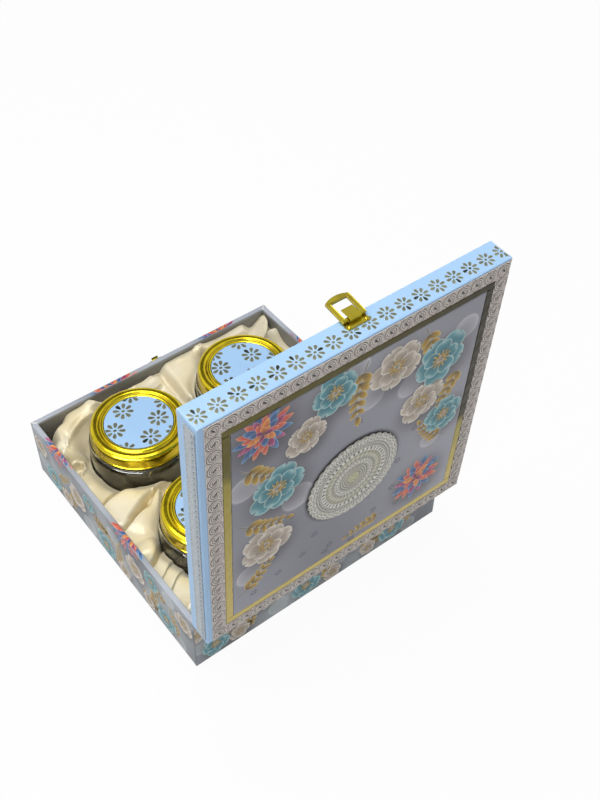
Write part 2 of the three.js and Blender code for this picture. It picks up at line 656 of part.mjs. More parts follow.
function lidLeaf(x) {
  const plate = leafPlate(x, HINGE_AXIS.z + leafStart, LID_RIM + LEAF_HEIGHT);
  const relieved = cut(plate, [
    barrelRod(x, -pinHalf, -middleHalf - RUN_GAP / 2, BARREL_RADIUS + RUN_GAP),
    barrelRod(x, middleHalf + RUN_GAP / 2, pinHalf, BARREL_RADIUS + RUN_GAP),
  ]);
  const knuckle = barrelRod(x, -middleHalf, middleHalf, BARREL_RADIUS);
  return cut(join(relieved, [knuckle, stopHeel(x)]), [
    barrelRod(x, -barrelHalf, barrelHalf, pinHole),
    ...leafNailXs.map((nailX) => nailHole(nailX, leafFace, lidLeafNailZ)),
  ]);
}

hingeXs.forEach((x, index) => {
  const name = `hinge_${index + 1}`;
  addPiece(base, `${name}_base_leaf`, baseLeaf(x), goldMetal);
  addPiece(lid, `${name}_lid_leaf`, lidLeaf(x), goldMetal);
  const pin = barrelRod(x, -pinHalf, pinHalf, HINGE_PIN_RADIUS);
  addPiece(base, `${name}_pin`, pin, goldMetal);
});
const nailSeat = leafFace + SEAT_GAP;
leafNailXs.forEach((x, index) => {
  addPiece(base, `base_hinge_nail_${index + 1}`, nail(x, nailSeat, baseLeafNailZ, 1), goldMetal);
  addPiece(lid, `lid_hinge_nail_${index + 1}`, nail(x, nailSeat, lidLeafNailZ, 1), goldMetal);
});

// Hasp pieces are drawn as a side outline of outward distance and height, and carried across the width.
function acrossFront(outline, width, centreX, faceZ) {
  const options = { depth: width, bevelEnabled: false, curveSegments: CURVE_STEPS };
  const geometry = new THREE.ExtrudeGeometry(outline, options);
  geometry.translate(0, 0, -width / 2);
  const basis = new THREE.Matrix4().makeBasis(
    new THREE.Vector3(0, -1, 0), new THREE.Vector3(0, 0, 1), new THREE.Vector3(-1, 0, 0));
  return geometry.applyMatrix4(basis).translate(centreX, frontFace - SEAT_GAP, faceZ);
}

function rectangle(x0, y0, x1, y1) {
  return new THREE.Shape([[x0, y0], [x1, y0], [x1, y1], [x0, y1]].map(([x, y]) => new THREE.Vector2(x, y)));
}

// The tongue comes up from the plate, folds round the loop's hinge bar and lies back over the window.
function tongueOutline() {
  const outer = FOLD_INNER_RADIUS + HASP_SHEET;
  const axisOut = HASP_AXIS_OUT - SEAT_GAP;
  const outline = new THREE.Shape();
  outline.moveTo(axisOut - outer, 0);
  outline.absarc(axisOut, 0, outer, Math.PI, 0, true);
  outline.lineTo(axisOut + outer, -TONGUE_REACH);
  outline.lineTo(axisOut + FOLD_INNER_RADIUS, -TONGUE_REACH);
  outline.lineTo(axisOut + FOLD_INNER_RADIUS, 0);
  outline.absarc(axisOut, 0, FOLD_INNER_RADIUS, 0, Math.PI, false);
  return outline;
}

function bracket() {
  const plateOutline = rectangle(0, -BRACKET_BELOW_AXIS, HASP_SHEET, BRACKET_ABOVE_AXIS);
  const rootOutline = rectangle(0, -HASP_SHEET, HASP_SHEET, FOLD_INNER_RADIUS);
  const plate = acrossFront(plateOutline, BRACKET_WIDTH, HASP_X, haspAxisZ);
  const root = acrossFront(rootOutline, TONGUE_WIDTH, HASP_X, haspAxisZ);
  const tongue = acrossFront(tongueOutline(), TONGUE_WIDTH, HASP_X, haspAxisZ);
  return cut(join(plate, [root, tongue]), bracketHoles);
}

addPiece(lid, 'hasp_bracket', bracket(), goldMetal);
bracketNailXs.forEach((x, index) => {
  addPiece(lid, `bracket_nail_${index + 1}`, nail(x, sheetFace - SEAT_GAP, bracketNailZ, -1), goldMetal);
});

// The loop: a frame with a bowed outer end, hanging from its hinge bar.
function loopFrame() {
  const half = LOOP_WIDTH / 2 - LOOP_ROUND;
  const top = LOOP_HINGE_BAR / 2 - LOOP_ROUND;
  const corner = -LOOP_CORNER_REACH + LOOP_ROUND;
  const bow = -LOOP_BOW_REACH + LOOP_ROUND;
  const windowHalf = LOOP_WIDTH / 2 - LOOP_BAR + LOOP_ROUND;
  const windowTop = -LOOP_HINGE_BAR / 2 + LOOP_ROUND;
  const windowEnd = -LOOP_HINGE_BAR / 2 - LOOP_WINDOW_LENGTH - LOOP_ROUND;
  const outline = new THREE.Shape();
  outline.moveTo(-half, top);
  outline.lineTo(-half, corner);
  outline.quadraticCurveTo(0, 2 * bow - corner, half, corner);
  outline.lineTo(half, top);
  outline.holes.push(rectangle(-windowHalf, windowEnd, windowHalf, windowTop));
  const geometry = new THREE.ExtrudeGeometry(outline, {
    depth: LOOP_THICK - 2 * LOOP_ROUND,
    bevelEnabled: true,
    bevelSize: LOOP_ROUND,
    bevelThickness: LOOP_ROUND,
    bevelSegments: 1,
    curveSegments: CURVE_STEPS,
  });
  geometry.translate(0, 0, LOOP_ROUND - LOOP_THICK / 2);
  return geometry.rotateX(Math.PI / 2);
}

const haspSwing = new THREE.Group();
haspSwing.position.set(HASP_X, frontFace - HASP_AXIS_OUT, haspAxisZ);
haspSwing.rotation.x = -HASP_RAISED;
lid.add(haspSwing);
addPiece(haspSwing, 'hasp_loop', loopFrame(), goldMetal);

// The catch: a plate with a ramped nose for the loop's end bar and a small turned-out lip along its top
function catchPiece() {
  const top = -CATCH_TOP_DROP;
  const plateOutline = rectangle(0, top - CATCH_LENGTH, HASP_SHEET, top);
  const plate = acrossFront(plateOutline, CATCH_WIDTH, HASP_X, BASE_HEIGHT);
  const noseOut = CATCH_NOSE_OUT - SEAT_GAP;
  const noseUnder = -CATCH_NOSE_UNDER_RIM;
  const noseOutline = new THREE.Shape();
  noseOutline.moveTo(0, noseUnder);
  noseOutline.lineTo(noseOut, noseUnder);
  const noseTop = noseUnder + CATCH_NOSE_HEIGHT;
  noseOutline.lineTo(noseOut, noseUnder + CATCH_NOSE_HEIGHT / 4);
  noseOutline.quadraticCurveTo(noseOut, noseUnder + CATCH_NOSE_HEIGHT / 2, HASP_SHEET, noseTop);
  noseOutline.lineTo(0, noseTop);
  const lipOut = CATCH_LIP_OUT - SEAT_GAP;
  const lipOutline = new THREE.Shape();
  lipOutline.moveTo(0, top - HASP_SHEET);
  lipOutline.lineTo(HASP_SHEET, top - HASP_SHEET);
  lipOutline.quadraticCurveTo(lipOut, top - HASP_SHEET, lipOut, CATCH_LIP_RISE);
  lipOutline.lineTo(lipOut - HASP_SHEET, CATCH_LIP_RISE);
  lipOutline.quadraticCurveTo(lipOut - HASP_SHEET, top, 0, top);
  const nose = acrossFront(noseOutline, CATCH_NOSE_WIDTH, HASP_X, BASE_HEIGHT);
  const lip = acrossFront(lipOutline, CATCH_NOSE_WIDTH, HASP_X, BASE_HEIGHT);
  return cut(join(plate, [nose, lip]), catchHoles);
}

addPiece(base, 'catch', catchPiece(), goldMetal);
catchNailXs.forEach((x, index) => {
  addPiece(base, `catch_nail_${index + 1}`, nail(x, sheetFace - SEAT_GAP, catchNailZ, -1), goldMetal);
});

export default model;
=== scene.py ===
import json
import math

import bpy
import numpy as np
from mathutils import Matrix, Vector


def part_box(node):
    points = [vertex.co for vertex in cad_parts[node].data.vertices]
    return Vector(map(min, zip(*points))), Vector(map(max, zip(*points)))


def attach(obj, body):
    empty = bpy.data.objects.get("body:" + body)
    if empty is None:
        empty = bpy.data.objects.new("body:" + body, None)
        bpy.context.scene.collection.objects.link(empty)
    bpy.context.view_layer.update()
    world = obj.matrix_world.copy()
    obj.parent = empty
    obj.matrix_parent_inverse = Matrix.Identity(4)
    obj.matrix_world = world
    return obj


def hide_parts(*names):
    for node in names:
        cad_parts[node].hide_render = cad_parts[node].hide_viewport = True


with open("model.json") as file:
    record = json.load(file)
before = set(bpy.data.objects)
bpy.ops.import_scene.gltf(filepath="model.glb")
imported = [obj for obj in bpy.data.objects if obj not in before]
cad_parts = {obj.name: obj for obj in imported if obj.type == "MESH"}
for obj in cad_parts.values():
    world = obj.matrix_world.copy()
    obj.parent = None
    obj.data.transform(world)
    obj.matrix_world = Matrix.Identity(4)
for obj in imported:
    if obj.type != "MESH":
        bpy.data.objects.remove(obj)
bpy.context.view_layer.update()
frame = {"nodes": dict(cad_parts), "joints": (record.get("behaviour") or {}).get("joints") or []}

# Base boards: a floor and four walls of grey board, glued at the corners and lined with plain grey paper.
# The boards are the construction's own solids; the lining shows on the inner walls above the satin.
MM = 0.001


def srgb(red, green, blue):
    """A colour given as 0 to 255 on the screen, as linear light with full alpha."""
    share = np.array([red, green, blue]) / 255
    linear = np.where(share <= 0.04045, share / 12.92, ((share + 0.055) / 1.055) ** 2.4)
    return (*linear.tolist(), 1.0)


def put(tree, node, sockets):
    """Links outputs to a node's inputs, or sets the inputs' own values, by name or number."""
    for key, value in sockets.items():
        if isinstance(value, bpy.types.NodeSocket):
            tree.links.new(value, node.inputs[key])
        else:
            node.inputs[key].default_value = value


def add_node(tree, kind, sockets=None, **settings):
    """A node with its settings, and its input sockets set or linked by name or number."""
    node = tree.nodes.new(kind)
    for key, value in settings.items():
        setattr(node, key, value)
    put(tree, node, sockets or {})
    return node


def maths(tree, operation, first, second=0.0, third=0.0):
    """One arithmetic step on values."""
    sockets = {0: first, 1: second, 2: third}
    return add_node(tree, "ShaderNodeMath", sockets, operation=operation).outputs[0]


def blend_colours(tree, share, first, second, blend_type="MIX"):
    """The first colour, with the given share of the second laid over it."""
    sockets = {0: share, 6: first, 7: second}
    node = add_node(tree, "ShaderNodeMix", sockets, data_type="RGBA", blend_type=blend_type)
    return node.outputs[2]


def ramp(tree, value, low, high):
    """A smooth step from 0 at low to 1 at high."""
    sockets = {"Value": value, "From Min": low, "From Max": high}
    node = add_node(tree, "ShaderNodeMapRange", sockets, interpolation_type="SMOOTHSTEP")
    return node.outputs["Result"]


def new_group(name, inputs, outputs):
    """An empty shader group with named sockets; returns the tree, its inputs and its output node."""
    tree = bpy.data.node_groups.new(name, "ShaderNodeTree")
    for label, kind in inputs:
        tree.interface.new_socket(label, in_out="INPUT", socket_type=kind)
    for label, kind in outputs:
        tree.interface.new_socket(label, in_out="OUTPUT", socket_type=kind)
    return tree, tree.nodes.new("NodeGroupInput").outputs, tree.nodes.new("NodeGroupOutput")


def place_group(tree, group, sockets):
    """The group's node in a material, with its inputs set; returns its outputs."""
    return add_node(tree, "ShaderNodeGroup", sockets, node_tree=group).outputs


def noise(tree, place, scale, detail=2.0, roughness=0.5):
    """Soft noise at the given number of waves to the metre."""
    sockets = {"Vector": place, "Scale": scale, "Detail": detail, "Roughness": roughness}
    return add_node(tree, "ShaderNodeTexNoise", sockets).outputs["Fac"]


def object_place(tree):
    """The point's place on the object, in metres."""
    return add_node(tree, "ShaderNodeTexCoord").outputs["Object"]


def own_value(tree, name, output):
    """A colour or a mask that the piece carries as an attribute."""
    return add_node(tree, "ShaderNodeAttribute", attribute_name=name).outputs[output]


COLOUR, NUMBER = "NodeSocketColor", "NodeSocketFloat"
SURFACE = [("Color", COLOUR), ("Roughness", NUMBER), ("Height", NUMBER)]
PAPER_TOOTH = 0.02 * MM


def paper_group():
    """Paper: slight cloudiness in its colour, white fibres where it is rubbed, and a fine tooth."""
    tree, inputs, result = new_group("paper_surface", [("Color", COLOUR), ("Wear", NUMBER)], SURFACE)
    place = object_place(tree)
    cloud = noise(tree, place, 22.0, 3.0)
    tooth = noise(tree, place, 1600.0, 3.0, 0.6)
    rubbed = noise(tree, place, 260.0, 4.0, 0.65)
    shade = maths(tree, "MULTIPLY_ADD", cloud, 0.14, 0.93)
    clouded = blend_colours(tree, 1.0, inputs["Color"], shade, "MULTIPLY")
    worn = ramp(tree, maths(tree, "ADD", inputs["Wear"], rubbed), 1.02, 1.2)
    fibres = blend_colours(tree, worn, clouded, srgb(236, 234, 230))
    rough = maths(tree, "MULTIPLY_ADD", worn, 0.3, maths(tree, "MULTIPLY_ADD", tooth, 0.14, 0.36))
    put(tree, result, {"Color": fibres, "Roughness": rough, "Height": tooth})
    return tree


PAPER = paper_group()


def new_material(name, **sockets):
    """A material with one Principled shader, whose plain sockets are set by name."""
    material = bpy.data.materials.new(name)
    material.use_nodes = True
    shader = material.node_tree.nodes["Principled BSDF"]
    for key, value in sockets.items():
        shader.inputs[key.replace("_", " ")].default_value = value
    return material, material.node_tree, shader


def add_bump(tree, shader, height, distance, strength=1.0):
    """Raises the shader's normal by a height from 0 to 1, over the given distance in metres."""
    sockets = {"Height": height, "Distance": distance, "Strength": strength}
    put(tree, shader, {"Normal": add_node(tree, "ShaderNodeBump", sockets).outputs["Normal"]})


def lay_surface(tree, shader, surface):
    """Gives the shader the colour and the roughness that a group puts out."""
    put(tree, shader, {"Base Color": surface["Color"], "Roughness": surface["Roughness"]})


def paper_material(name, colour, wear=0.0):
    """Coated paper of one colour, or of a colour and a wear taken from the piece's own attributes."""
    material, tree, shader = new_material(name)
    if isinstance(colour, str):
        colour = own_value(tree, colour, "Color")
    if isinstance(wear, str):
        wear = own_value(tree, wear, "Fac")
    paper = place_group(tree, PAPER, {"Color": colour, "Wear": wear})
    lay_surface(tree, shader, paper)
    add_bump(tree, shader, paper["Height"], PAPER_TOOTH)
    return material


def dress(node, material):
    """Gives one of the construction's own solids its material."""
    target = frame["nodes"][node]
    target.data.materials.clear()
    target.data.materials.append(material)


lining_paper = paper_material("lining_paper", srgb(132, 131, 127))
BASE_BOARDS = ["base_floor", "base_front_wall", "base_back_wall", "base_left_wall", "base_right_wall"]
for board in BASE_BOARDS:
    dress(board, lining_paper)

# Base cover: one length of printed paper wrapped round the four walls, over the rim and down inside.
# It is glued to the boards, so its edges are small rounds that rub white at the rim and the corners.
front_low, front_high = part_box("base_front_wall")
HALF_BOX = front_high.x
RIM_HEIGHT = front_high.z
WALL_BOARD = front_high.y - front_low.y
PAPER_STANDS = 0.12 * MM
COVER_FOOT = 0.5 * MM
COVER_INSIDE_FOOT = 8 * MM
RIM_STANDS = 0.1 * MM
BASE_SPACING = 1.2 * MM
ROUND = 0.9 * MM
LEAST_ROUND = 0.02 * MM
ROUND_STEPS = 7
CORNER_STEPS = 4


def put_mesh(name, points, faces, smooth=True, uv=None, colours=None, masks=None):
    """A mesh object at the origin from grids or lists of points and faces, with UVs, colours and masks."""
    mesh = bpy.data.meshes.new(name)
    points = np.reshape(points, (-1, 3)).astype(np.float32)
    faces = np.asarray(faces, np.int32)
    mesh.vertices.add(len(points))
    mesh.vertices.foreach_set("co", points.ravel())
    mesh.loops.add(faces.size)
    mesh.loops.foreach_set("vertex_index", faces.ravel())
    mesh.polygons.add(len(faces))
    mesh.polygons.foreach_set("loop_start", np.arange(len(faces), dtype=np.int32) * faces.shape[1])
    mesh.update(calc_edges=True)
    mesh.polygons.foreach_set("use_smooth", np.full(len(faces), smooth))
    if uv is not None:
        layer = mesh.uv_layers.new(name="UVMap")
        layer.data.foreach_set("uv", np.reshape(uv, (-1, 2)).astype(np.float32)[faces.ravel()].ravel())
    if colours is not None:
        layer = mesh.attributes.new("tint", "FLOAT_COLOR", "POINT")
        rgba = np.concatenate([np.reshape(colours, (-1, 3)), np.ones((len(points), 1))], axis=1)
        layer.data.foreach_set("color", rgba.astype(np.float32).ravel())
    for label, values in (masks or {}).items():
        layer = mesh.attributes.new(label, "FLOAT", "POINT")
        layer.data.foreach_set("value", np.asarray(values, np.float32).ravel())
    mesh.validate()
    mesh.update()
    piece = bpy.data.objects.new(name, mesh)
    bpy.context.scene.collection.objects.link(piece)
    return piece


def grid_faces(rows, columns, ring=False, patches=1):
    """Quads of a grid of points, row by row; a ring joins its last column to its first."""
    row = np.arange(rows - 1)[:, None]
    column = np.arange(columns if ring else columns - 1)[None, :]
    after = (column + 1) % columns
    quads = np.stack([
        row * columns + column, row * columns + after,
        (row + 1) * columns + after, (row + 1) * columns + column], axis=-1).reshape(-1, 4)
    return (np.arange(patches)[:, None, None] * rows * columns + quads).reshape(-1, 4)


def finish_piece(piece, material, body, slot, *nodes):
    """Gives a new piece its material and body, and hides the construction solids that it stands for. slot is
    not used.
    """
    piece.data.materials.append(material)
    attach(piece, body)
    if nodes:
        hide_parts(*nodes)
    return piece


def fold_profile(turns):
    """A folded strip as points of outward distance and height, from straight runs and quarter rounds.

    Each turn is the round's middle, out and up, and its first and last angle; runs join one to the next."""
    points = []
    for out, up, first, last in turns:
        angle = np.radians(np.linspace(first, last, ROUND_STEPS))
        points.append(np.stack([out + ROUND * np.cos(angle), up + ROUND * np.sin(angle)], axis=1))
    return np.concatenate(points)


def run_along(profile):
    """The length along a folded strip at each of its points."""
    return np.concatenate([[0], np.cumsum(np.hypot(*np.diff(profile, axis=0).T))])


def along_profile(profile, lengths):
    """Points and outward normals at the given lengths along a folded strip."""
    run = run_along(profile)
    tangent = np.gradient(profile, run, axis=0)
    place = np.stack([np.interp(lengths, run, profile[:, i]) for i in (0, 1)], axis=-1)
    along = np.stack([np.interp(lengths, run, tangent[:, i]) for i in (0, 1)], axis=-1)
    along /= np.linalg.norm(along, axis=-1, keepdims=True)
    return place, np.stack([along[..., 1], -along[..., 0]], axis=-1)


def square_loop(half, radius, per_side):
    """A square with rounded corners, once round from the front's left end, for columns of half and radius.

    Each side is a straight run and each corner a quarter round."""
    side = np.linspace(-1, 1, per_side)[None, :]
    turn = np.radians(np.linspace(-90, 0, CORNER_STEPS + 2)[1:-1])[None, :]
    reach = half - radius
    x = np.concatenate([reach * side, reach + radius * np.cos(turn)], axis=1)
    y = np.concatenate([-half + 0 * side, -reach + radius * np.sin(turn)], axis=1)
    return np.concatenate([x, -y, -x, y], axis=1), np.concatenate([y, x, -y, -x], axis=1)


rim_turn = RIM_HEIGHT + RIM_STANDS - ROUND
base_profile = fold_profile([
    (PAPER_STANDS - ROUND, COVER_FOOT + ROUND, -70, 0),
    (PAPER_STANDS - ROUND, rim_turn, 0, 90),
    (ROUND - WALL_BOARD - PAPER_STANDS, rim_turn, 90, 180),
    (-ROUND - WALL_BOARD - PAPER_STANDS, COVER_INSIDE_FOOT, 0, -1),
])


def wrap_square(profile, spacing):
    """Paper wrapped round the box: a folded strip carried once round a square with rounded corners.

    Rows follow the strip, closer at its folds, and columns follow the square. Returns the points as rows
    of columns, each row's length along the strip, and each column's wall number and place along it."""
    knots = run_along(profile)
    parts = [np.linspace(a, b, max(2, math.ceil((b - a) / spacing) + 1))[:-1]
             for a, b in zip(knots, knots[1:])]
    lengths = np.concatenate([*parts, knots[-1:]])
    place = along_profile(profile, lengths)[0]
    per_side = math.ceil(2 * HALF_BOX / spacing) + 1
    inset = np.maximum(ROUND + place[:, :1], LEAST_ROUND)
    x, y = square_loop(HALF_BOX + place[:, :1], inset, per_side)
    points = np.stack([x, y, place[:, 1:] + 0 * x], axis=-1)
    wall = np.repeat(np.arange(4), per_side + CORNER_STEPS)
    side = np.concatenate([np.linspace(-1, 1, per_side) * HALF_BOX, np.full(CORNER_STEPS, HALF_BOX)])
    return points, lengths, wall, np.tile(side, 4)


def bell(value, middle, width):
    """1 at the middle and falling away on both sides: exp(-((value - middle) / width)^2)."""
    return np.exp(-((value - middle) / width) ** 2)


def rising(value, start, width):
    """0 up to the start, and rising evenly to 1 over the width."""
    return np.clip((value - start) / width, 0, 1)


def mix(first, second, share):
    """The first colour with the given share of the second, point by point."""
    share = np.asarray(share)[..., None]
    return first * (1 - share) + second * share


NOTCH_WIDTH = 0.45
WASH_STREAKS = 7.0
WASH_LEAN = 0.25


def leaf_shape(centre, angle, length, width, belly, point, notch=0.0, bend=0.0, rows=15, columns=9):
    """Flat petals or leaves as grids: a runs from root to tip, b from one edge to the other.

    The half-width is width times (4 t (1 - t)) to the power point, with t as a to the power belly. The
    tip is drawn back by notch along its middle, and the leaf leans sideways by bend times a squared."""
    def column(values):
        return np.asarray(values, float).reshape(-1, 1, 1)
    angle, length, width = column(angle), column(length), column(width)
    a = np.linspace(0.004, 0.996, rows)[None, :, None]
    b = np.linspace(-1, 1, columns)[None, None, :]
    t = a ** belly
    half = width * (4 * t * (1 - t)) ** point
    along = length * a * (1 - notch * a ** 4 * bell(b, 0, NOTCH_WIDTH))
    side = b * half + column(bend) * length * a ** 2
    centre = np.asarray(centre, float).reshape(-1, 1, 1, 2)
    turned = [along * np.cos(angle) - side * np.sin(angle), along * np.sin(angle) + side * np.cos(angle)]
    shape = np.broadcast_shapes(turned[0].shape, turned[1].shape)
    plan = centre + np.stack([np.broadcast_to(v, shape) for v in turned], axis=-1)
    return plan, np.broadcast_to(a, shape), np.broadcast_to(b, shape)


def washed(a, b, root, middle, edge):
    """A petal's watercolour: root to middle along a, edge round the rim, with streaks and one lit side."""
    def colour(values):
        return np.asarray(values, float).reshape(-1, 1, 1, 3)
    wash = mix(colour(root), colour(middle), rising(a, 0, 0.7) ** 0.8)
    wash = mix(wash, colour(edge), rising(np.maximum(np.abs(b), a), 0.72, 0.26) ** 1.5)
    streak = 0.16 * (0.5 + 0.5 * np.cos(WASH_STREAKS * b * math.pi)) * (1 - a) + 0.1 * bell(b, 0, 0.1)
    side = 1 + WASH_LEAN * b * (1 - 0.5 * a)
    return np.clip(wash * ((1 - streak) * side)[..., None], 0, 1)


def ink(red, green, blue):
    """A printing colour as linear light."""
    return np.array(srgb(red, green, blue)[:3])


TEAL = (ink(8, 48, 62), ink(56, 136, 150), ink(168, 204, 206))
IVORY = (ink(78, 62, 52), ink(184, 168, 152), ink(228, 220, 208))
OCHRE = (ink(92, 66, 10), ink(190, 148, 30), ink(226, 206, 130))
STEM = (ink(120, 116, 108), ink(188, 182, 168), ink(212, 208, 200))
CORAL = (ink(104, 24, 26), ink(214, 84, 58), ink(240, 160, 120))
ORANGE = (ink(140, 60, 16), ink(230, 132, 48), ink(246, 196, 120))
MAGENTA = (ink(62, 10, 44), ink(150, 36, 92), ink(214, 124, 170))
BLUE = (ink(10, 26, 66), ink(40, 88, 148), ink(128, 172, 210))
PRINT_PALE = ink(192, 192, 204)
PRINT_SHADE = ink(100, 100, 113)
DISC_PALE = ink(236, 235, 240)
LAYER_RISE = 0.02 * MM
STEM_HALF = 0.9 * MM
LEAF_PAIRS = 5


def petal_ring(centre, count, reach, wide, palette, spin, level, **shape):
    """A ring of like petals round a centre, each a little longer or shorter than the last."""
    turn = spin + 2 * math.pi * np.arange(count) / count
    vary = 1 + 0.07 * np.sin(2.4 * np.arange(count) + spin)
    plan, a, b = leaf_shape([centre] * count, turn, reach * vary, wide * vary, **shape)
    tints = [np.stack([tone[i % len(palette)] for i in range(count)]) for tone in zip(*palette)]
    levels = level + (np.arange(count) % 2) * 0.5
    return plan, levels, washed(a, b, *tints), a, b


def blossom(p, q, reach, palette, spin=0.0):
    """An open five-petalled blossom seen from above, with a smaller inner ring, stamens and an eye."""
    centre = (p, q)
    broad = dict(belly=1.5, point=0.5, notch=0.14)
    slim = dict(belly=1.2, point=0.6)
    return [
        petal_ring(centre, 5, reach, 0.46 * reach, [palette], spin, 3, **broad),
        petal_ring(centre, 5, 0.72 * reach, 0.3 * reach, [palette], spin + 0.63, 5, **broad),
        petal_ring(centre, 12, 0.36 * reach, 0.035 * reach, [OCHRE], spin, 7, **slim),
        petal_ring(centre, 7, 0.17 * reach, 0.06 * reach, [OCHRE, STEM], spin, 8, **slim),
    ]


def rosette(p, q, reach, spin=0.0, finer=1):
    """A full double flower: four rings of pointed petals, smaller and brighter towards the heart.

    finer gives each ring that many times the petals, each as much slimmer."""
    centre = (p, q)
    slim = dict(belly=1.15, point=0.72)
    rings = [(15, 1.0, [CORAL, BLUE, MAGENTA, BLUE, CORAL]), (12, 0.78, [BLUE, CORAL, MAGENTA]),
             (9, 0.55, [ORANGE, CORAL, BLUE]), (7, 0.32, [ORANGE, MAGENTA])]
    rings = [(count * finer, share, palette) for count, share, palette in rings]
    return [petal_ring(centre, count, share * reach, 0.62 * share * reach * math.pi / count, palette,
                       spin + 0.37 * level, 3 + level, **slim)
            for level, (count, share, palette) in enumerate(rings)]


def spray(p, q, reach, angle, bend):
    """A leafy sprig: a thin curved stem with leaves in pairs that shorten to the tip, and one at its end."""
    stem, a, b = leaf_shape([(p, q)], [angle], [reach], [STEM_HALF], 0.6, 0.5, bend=bend)
    parts = [(stem, np.array([1.0]), washed(a, b, *STEM), a, b)]
    share = np.repeat(np.linspace(0.22, 0.86, LEAF_PAIRS), 2)
    side = np.tile([1, -1], LEAF_PAIRS)
    along, lean = reach * share, bend * reach * share ** 2
    place = np.stack([p + along * math.cos(angle) - lean * math.sin(angle),
                      q + along * math.sin(angle) + lean * math.cos(angle)], axis=1)
    heading = angle + np.arctan(2 * bend * share)
    place = np.concatenate([place, stem[0, -1:, stem.shape[2] // 2]])
    turn = np.concatenate([heading + side * 0.75, [angle + math.atan(2 * bend)]])
    size = reach * np.concatenate([0.3 * (1 - 0.5 * share), [0.2]])
    plan, a, b = leaf_shape(place, turn, size, 0.27 * size, belly=0.9, point=0.8)
    parts.append((plan, np.full(len(turn), 2.0), washed(a, b, *OCHRE), a, b))
    return parts


def printed_parts(blossoms, rosettes, sprays, turns, shift=0, spin=0, finer=1):
    """The petals of all the motifs in three lists, moved along by shift.

    The first turn sets each blossom off from the last one, and the second turn each rosette."""
    parts = []
    for i, (x, y, reach, palette) in enumerate(blossoms):
        parts += blossom((x + shift) * MM, y * MM, reach * MM, palette, turns[0] * i + spin)
    for i, (x, y, reach) in enumerate(rosettes):
        parts += rosette((x + shift) * MM, y * MM, reach * MM, turns[1] * i + spin, finer)
    for x, y, reach, angle, bend in sprays:
        parts += spray((x + shift) * MM, y * MM, reach * MM, angle, bend)
    return parts


LEAST_FACE = 1e-10


def with_area(points, faces):
    """Quads as triangles, without those that a clipped or repeated edge has drawn together to no area."""
    triangles = np.concatenate([faces[:, [0, 1, 2]], faces[:, [0, 2, 3]]])
    corners = points[triangles]
    across = np.cross(corners[:, 1] - corners[:, 0], corners[:, 2] - corners[:, 0])
    return triangles[np.linalg.norm(across, axis=1) > 2 * LEAST_FACE]


def patch_piece(name, places, **looks):
    """Patches of thin print or foil as one piece, from grids of points in space."""
    patches, rows, columns = places.shape[:3]
    quads = grid_faces(rows, columns, patches=patches)[:, ::-1]
    return put_mesh(name, places, with_area(places.reshape(-1, 3), quads), **looks)


def ink_piece(name, parts, mapping):
    """All the printed petals of one sheet as one thin piece; mapping takes plan and height to space."""
    plan, level, tint, a, b = (np.concatenate([part[i] for part in parts]) for i in range(5))
    lift = (2 + level[:, None, None]) * LAYER_RISE + 0 * a
    return patch_piece(name, mapping(plan, lift), uv=np.stack([a, 0.5 + 0.5 * b], axis=-1), colours=tint)


def own_uv(tree):
    """The piece's own UV."""
    return add_node(tree, "ShaderNodeUVMap").outputs["UV"]


def vein_group():
    """Printed petals: fine veins that fan from the root, and a pale drawn outline."""
    tree, inputs, result = new_group("petal_veins", [("Color", COLOUR)], [("Color", COLOUR)])
    part = add_node(tree, "ShaderNodeSeparateXYZ", {"Vector": own_uv(tree)}).outputs
    sway = maths(tree, "MULTIPLY", noise(tree, object_place(tree), 240.0), 3.0)
    phase = maths(tree, "MULTIPLY_ADD", part["Y"], 58.0, sway)
    vein = ramp(tree, maths(tree, "SINE", phase), 0.62, 1.0)
    depth = maths(tree, "MULTIPLY", vein, maths(tree, "MULTIPLY_ADD", part["X"], -0.3, 0.34))
    veined = blend_colours(tree, depth, inputs["Color"], srgb(40, 38, 36))
    edge = maths(tree, "ABSOLUTE", maths(tree, "SUBTRACT", part["Y"], 0.5))
    line = maths(tree, "MULTIPLY", ramp(tree, edge, 0.455, 0.485), 0.35)
    put(tree, result, {"Color": blend_colours(tree, line, veined, srgb(244, 240, 232))})
    return tree


VEINS = vein_group()


def ink_material(name):
    """Printing ink on coated paper, coloured by the piece's own tint and drawn veins."""
    material, tree, shader = new_material(name)
    drawn = place_group(tree, VEINS, {"Color": own_value(tree, "tint", "Color")})["Color"]
    lay_surface(tree, shader, place_group(tree, PAPER, {"Color": drawn, "Wear": 0.0}))
    return material


printed_ink = ink_material("printed_ink")


def painted_ground(p, q, sweep, shadows, discs):
    """The print's grey ground: a light-to-dark sweep, soft shadows by the motifs, and pale clear discs.

    A shadow falls away with the fourth power of the distance over its reach; a disc has a bright rim."""
    colour = mix(PRINT_SHADE, PRINT_PALE, sweep)
    for x, y, reach in discs:
        far = np.hypot(p - x, q - y) / reach
        body = 0.42 * rising(1 - far, 0, 0.08) * (0.45 + 0.55 * np.clip(far, 0, 1) ** 2)
        colour = mix(colour, DISC_PALE, np.maximum(body, 0.62 * bell(far, 0.95, 0.06)))
    for x, y, reach in shadows:
        far = np.hypot(p - x, q - y) / (1.12 * reach)
        colour = colour * (1 - 0.74 * np.exp(-far ** 4))[..., None]
    return colour


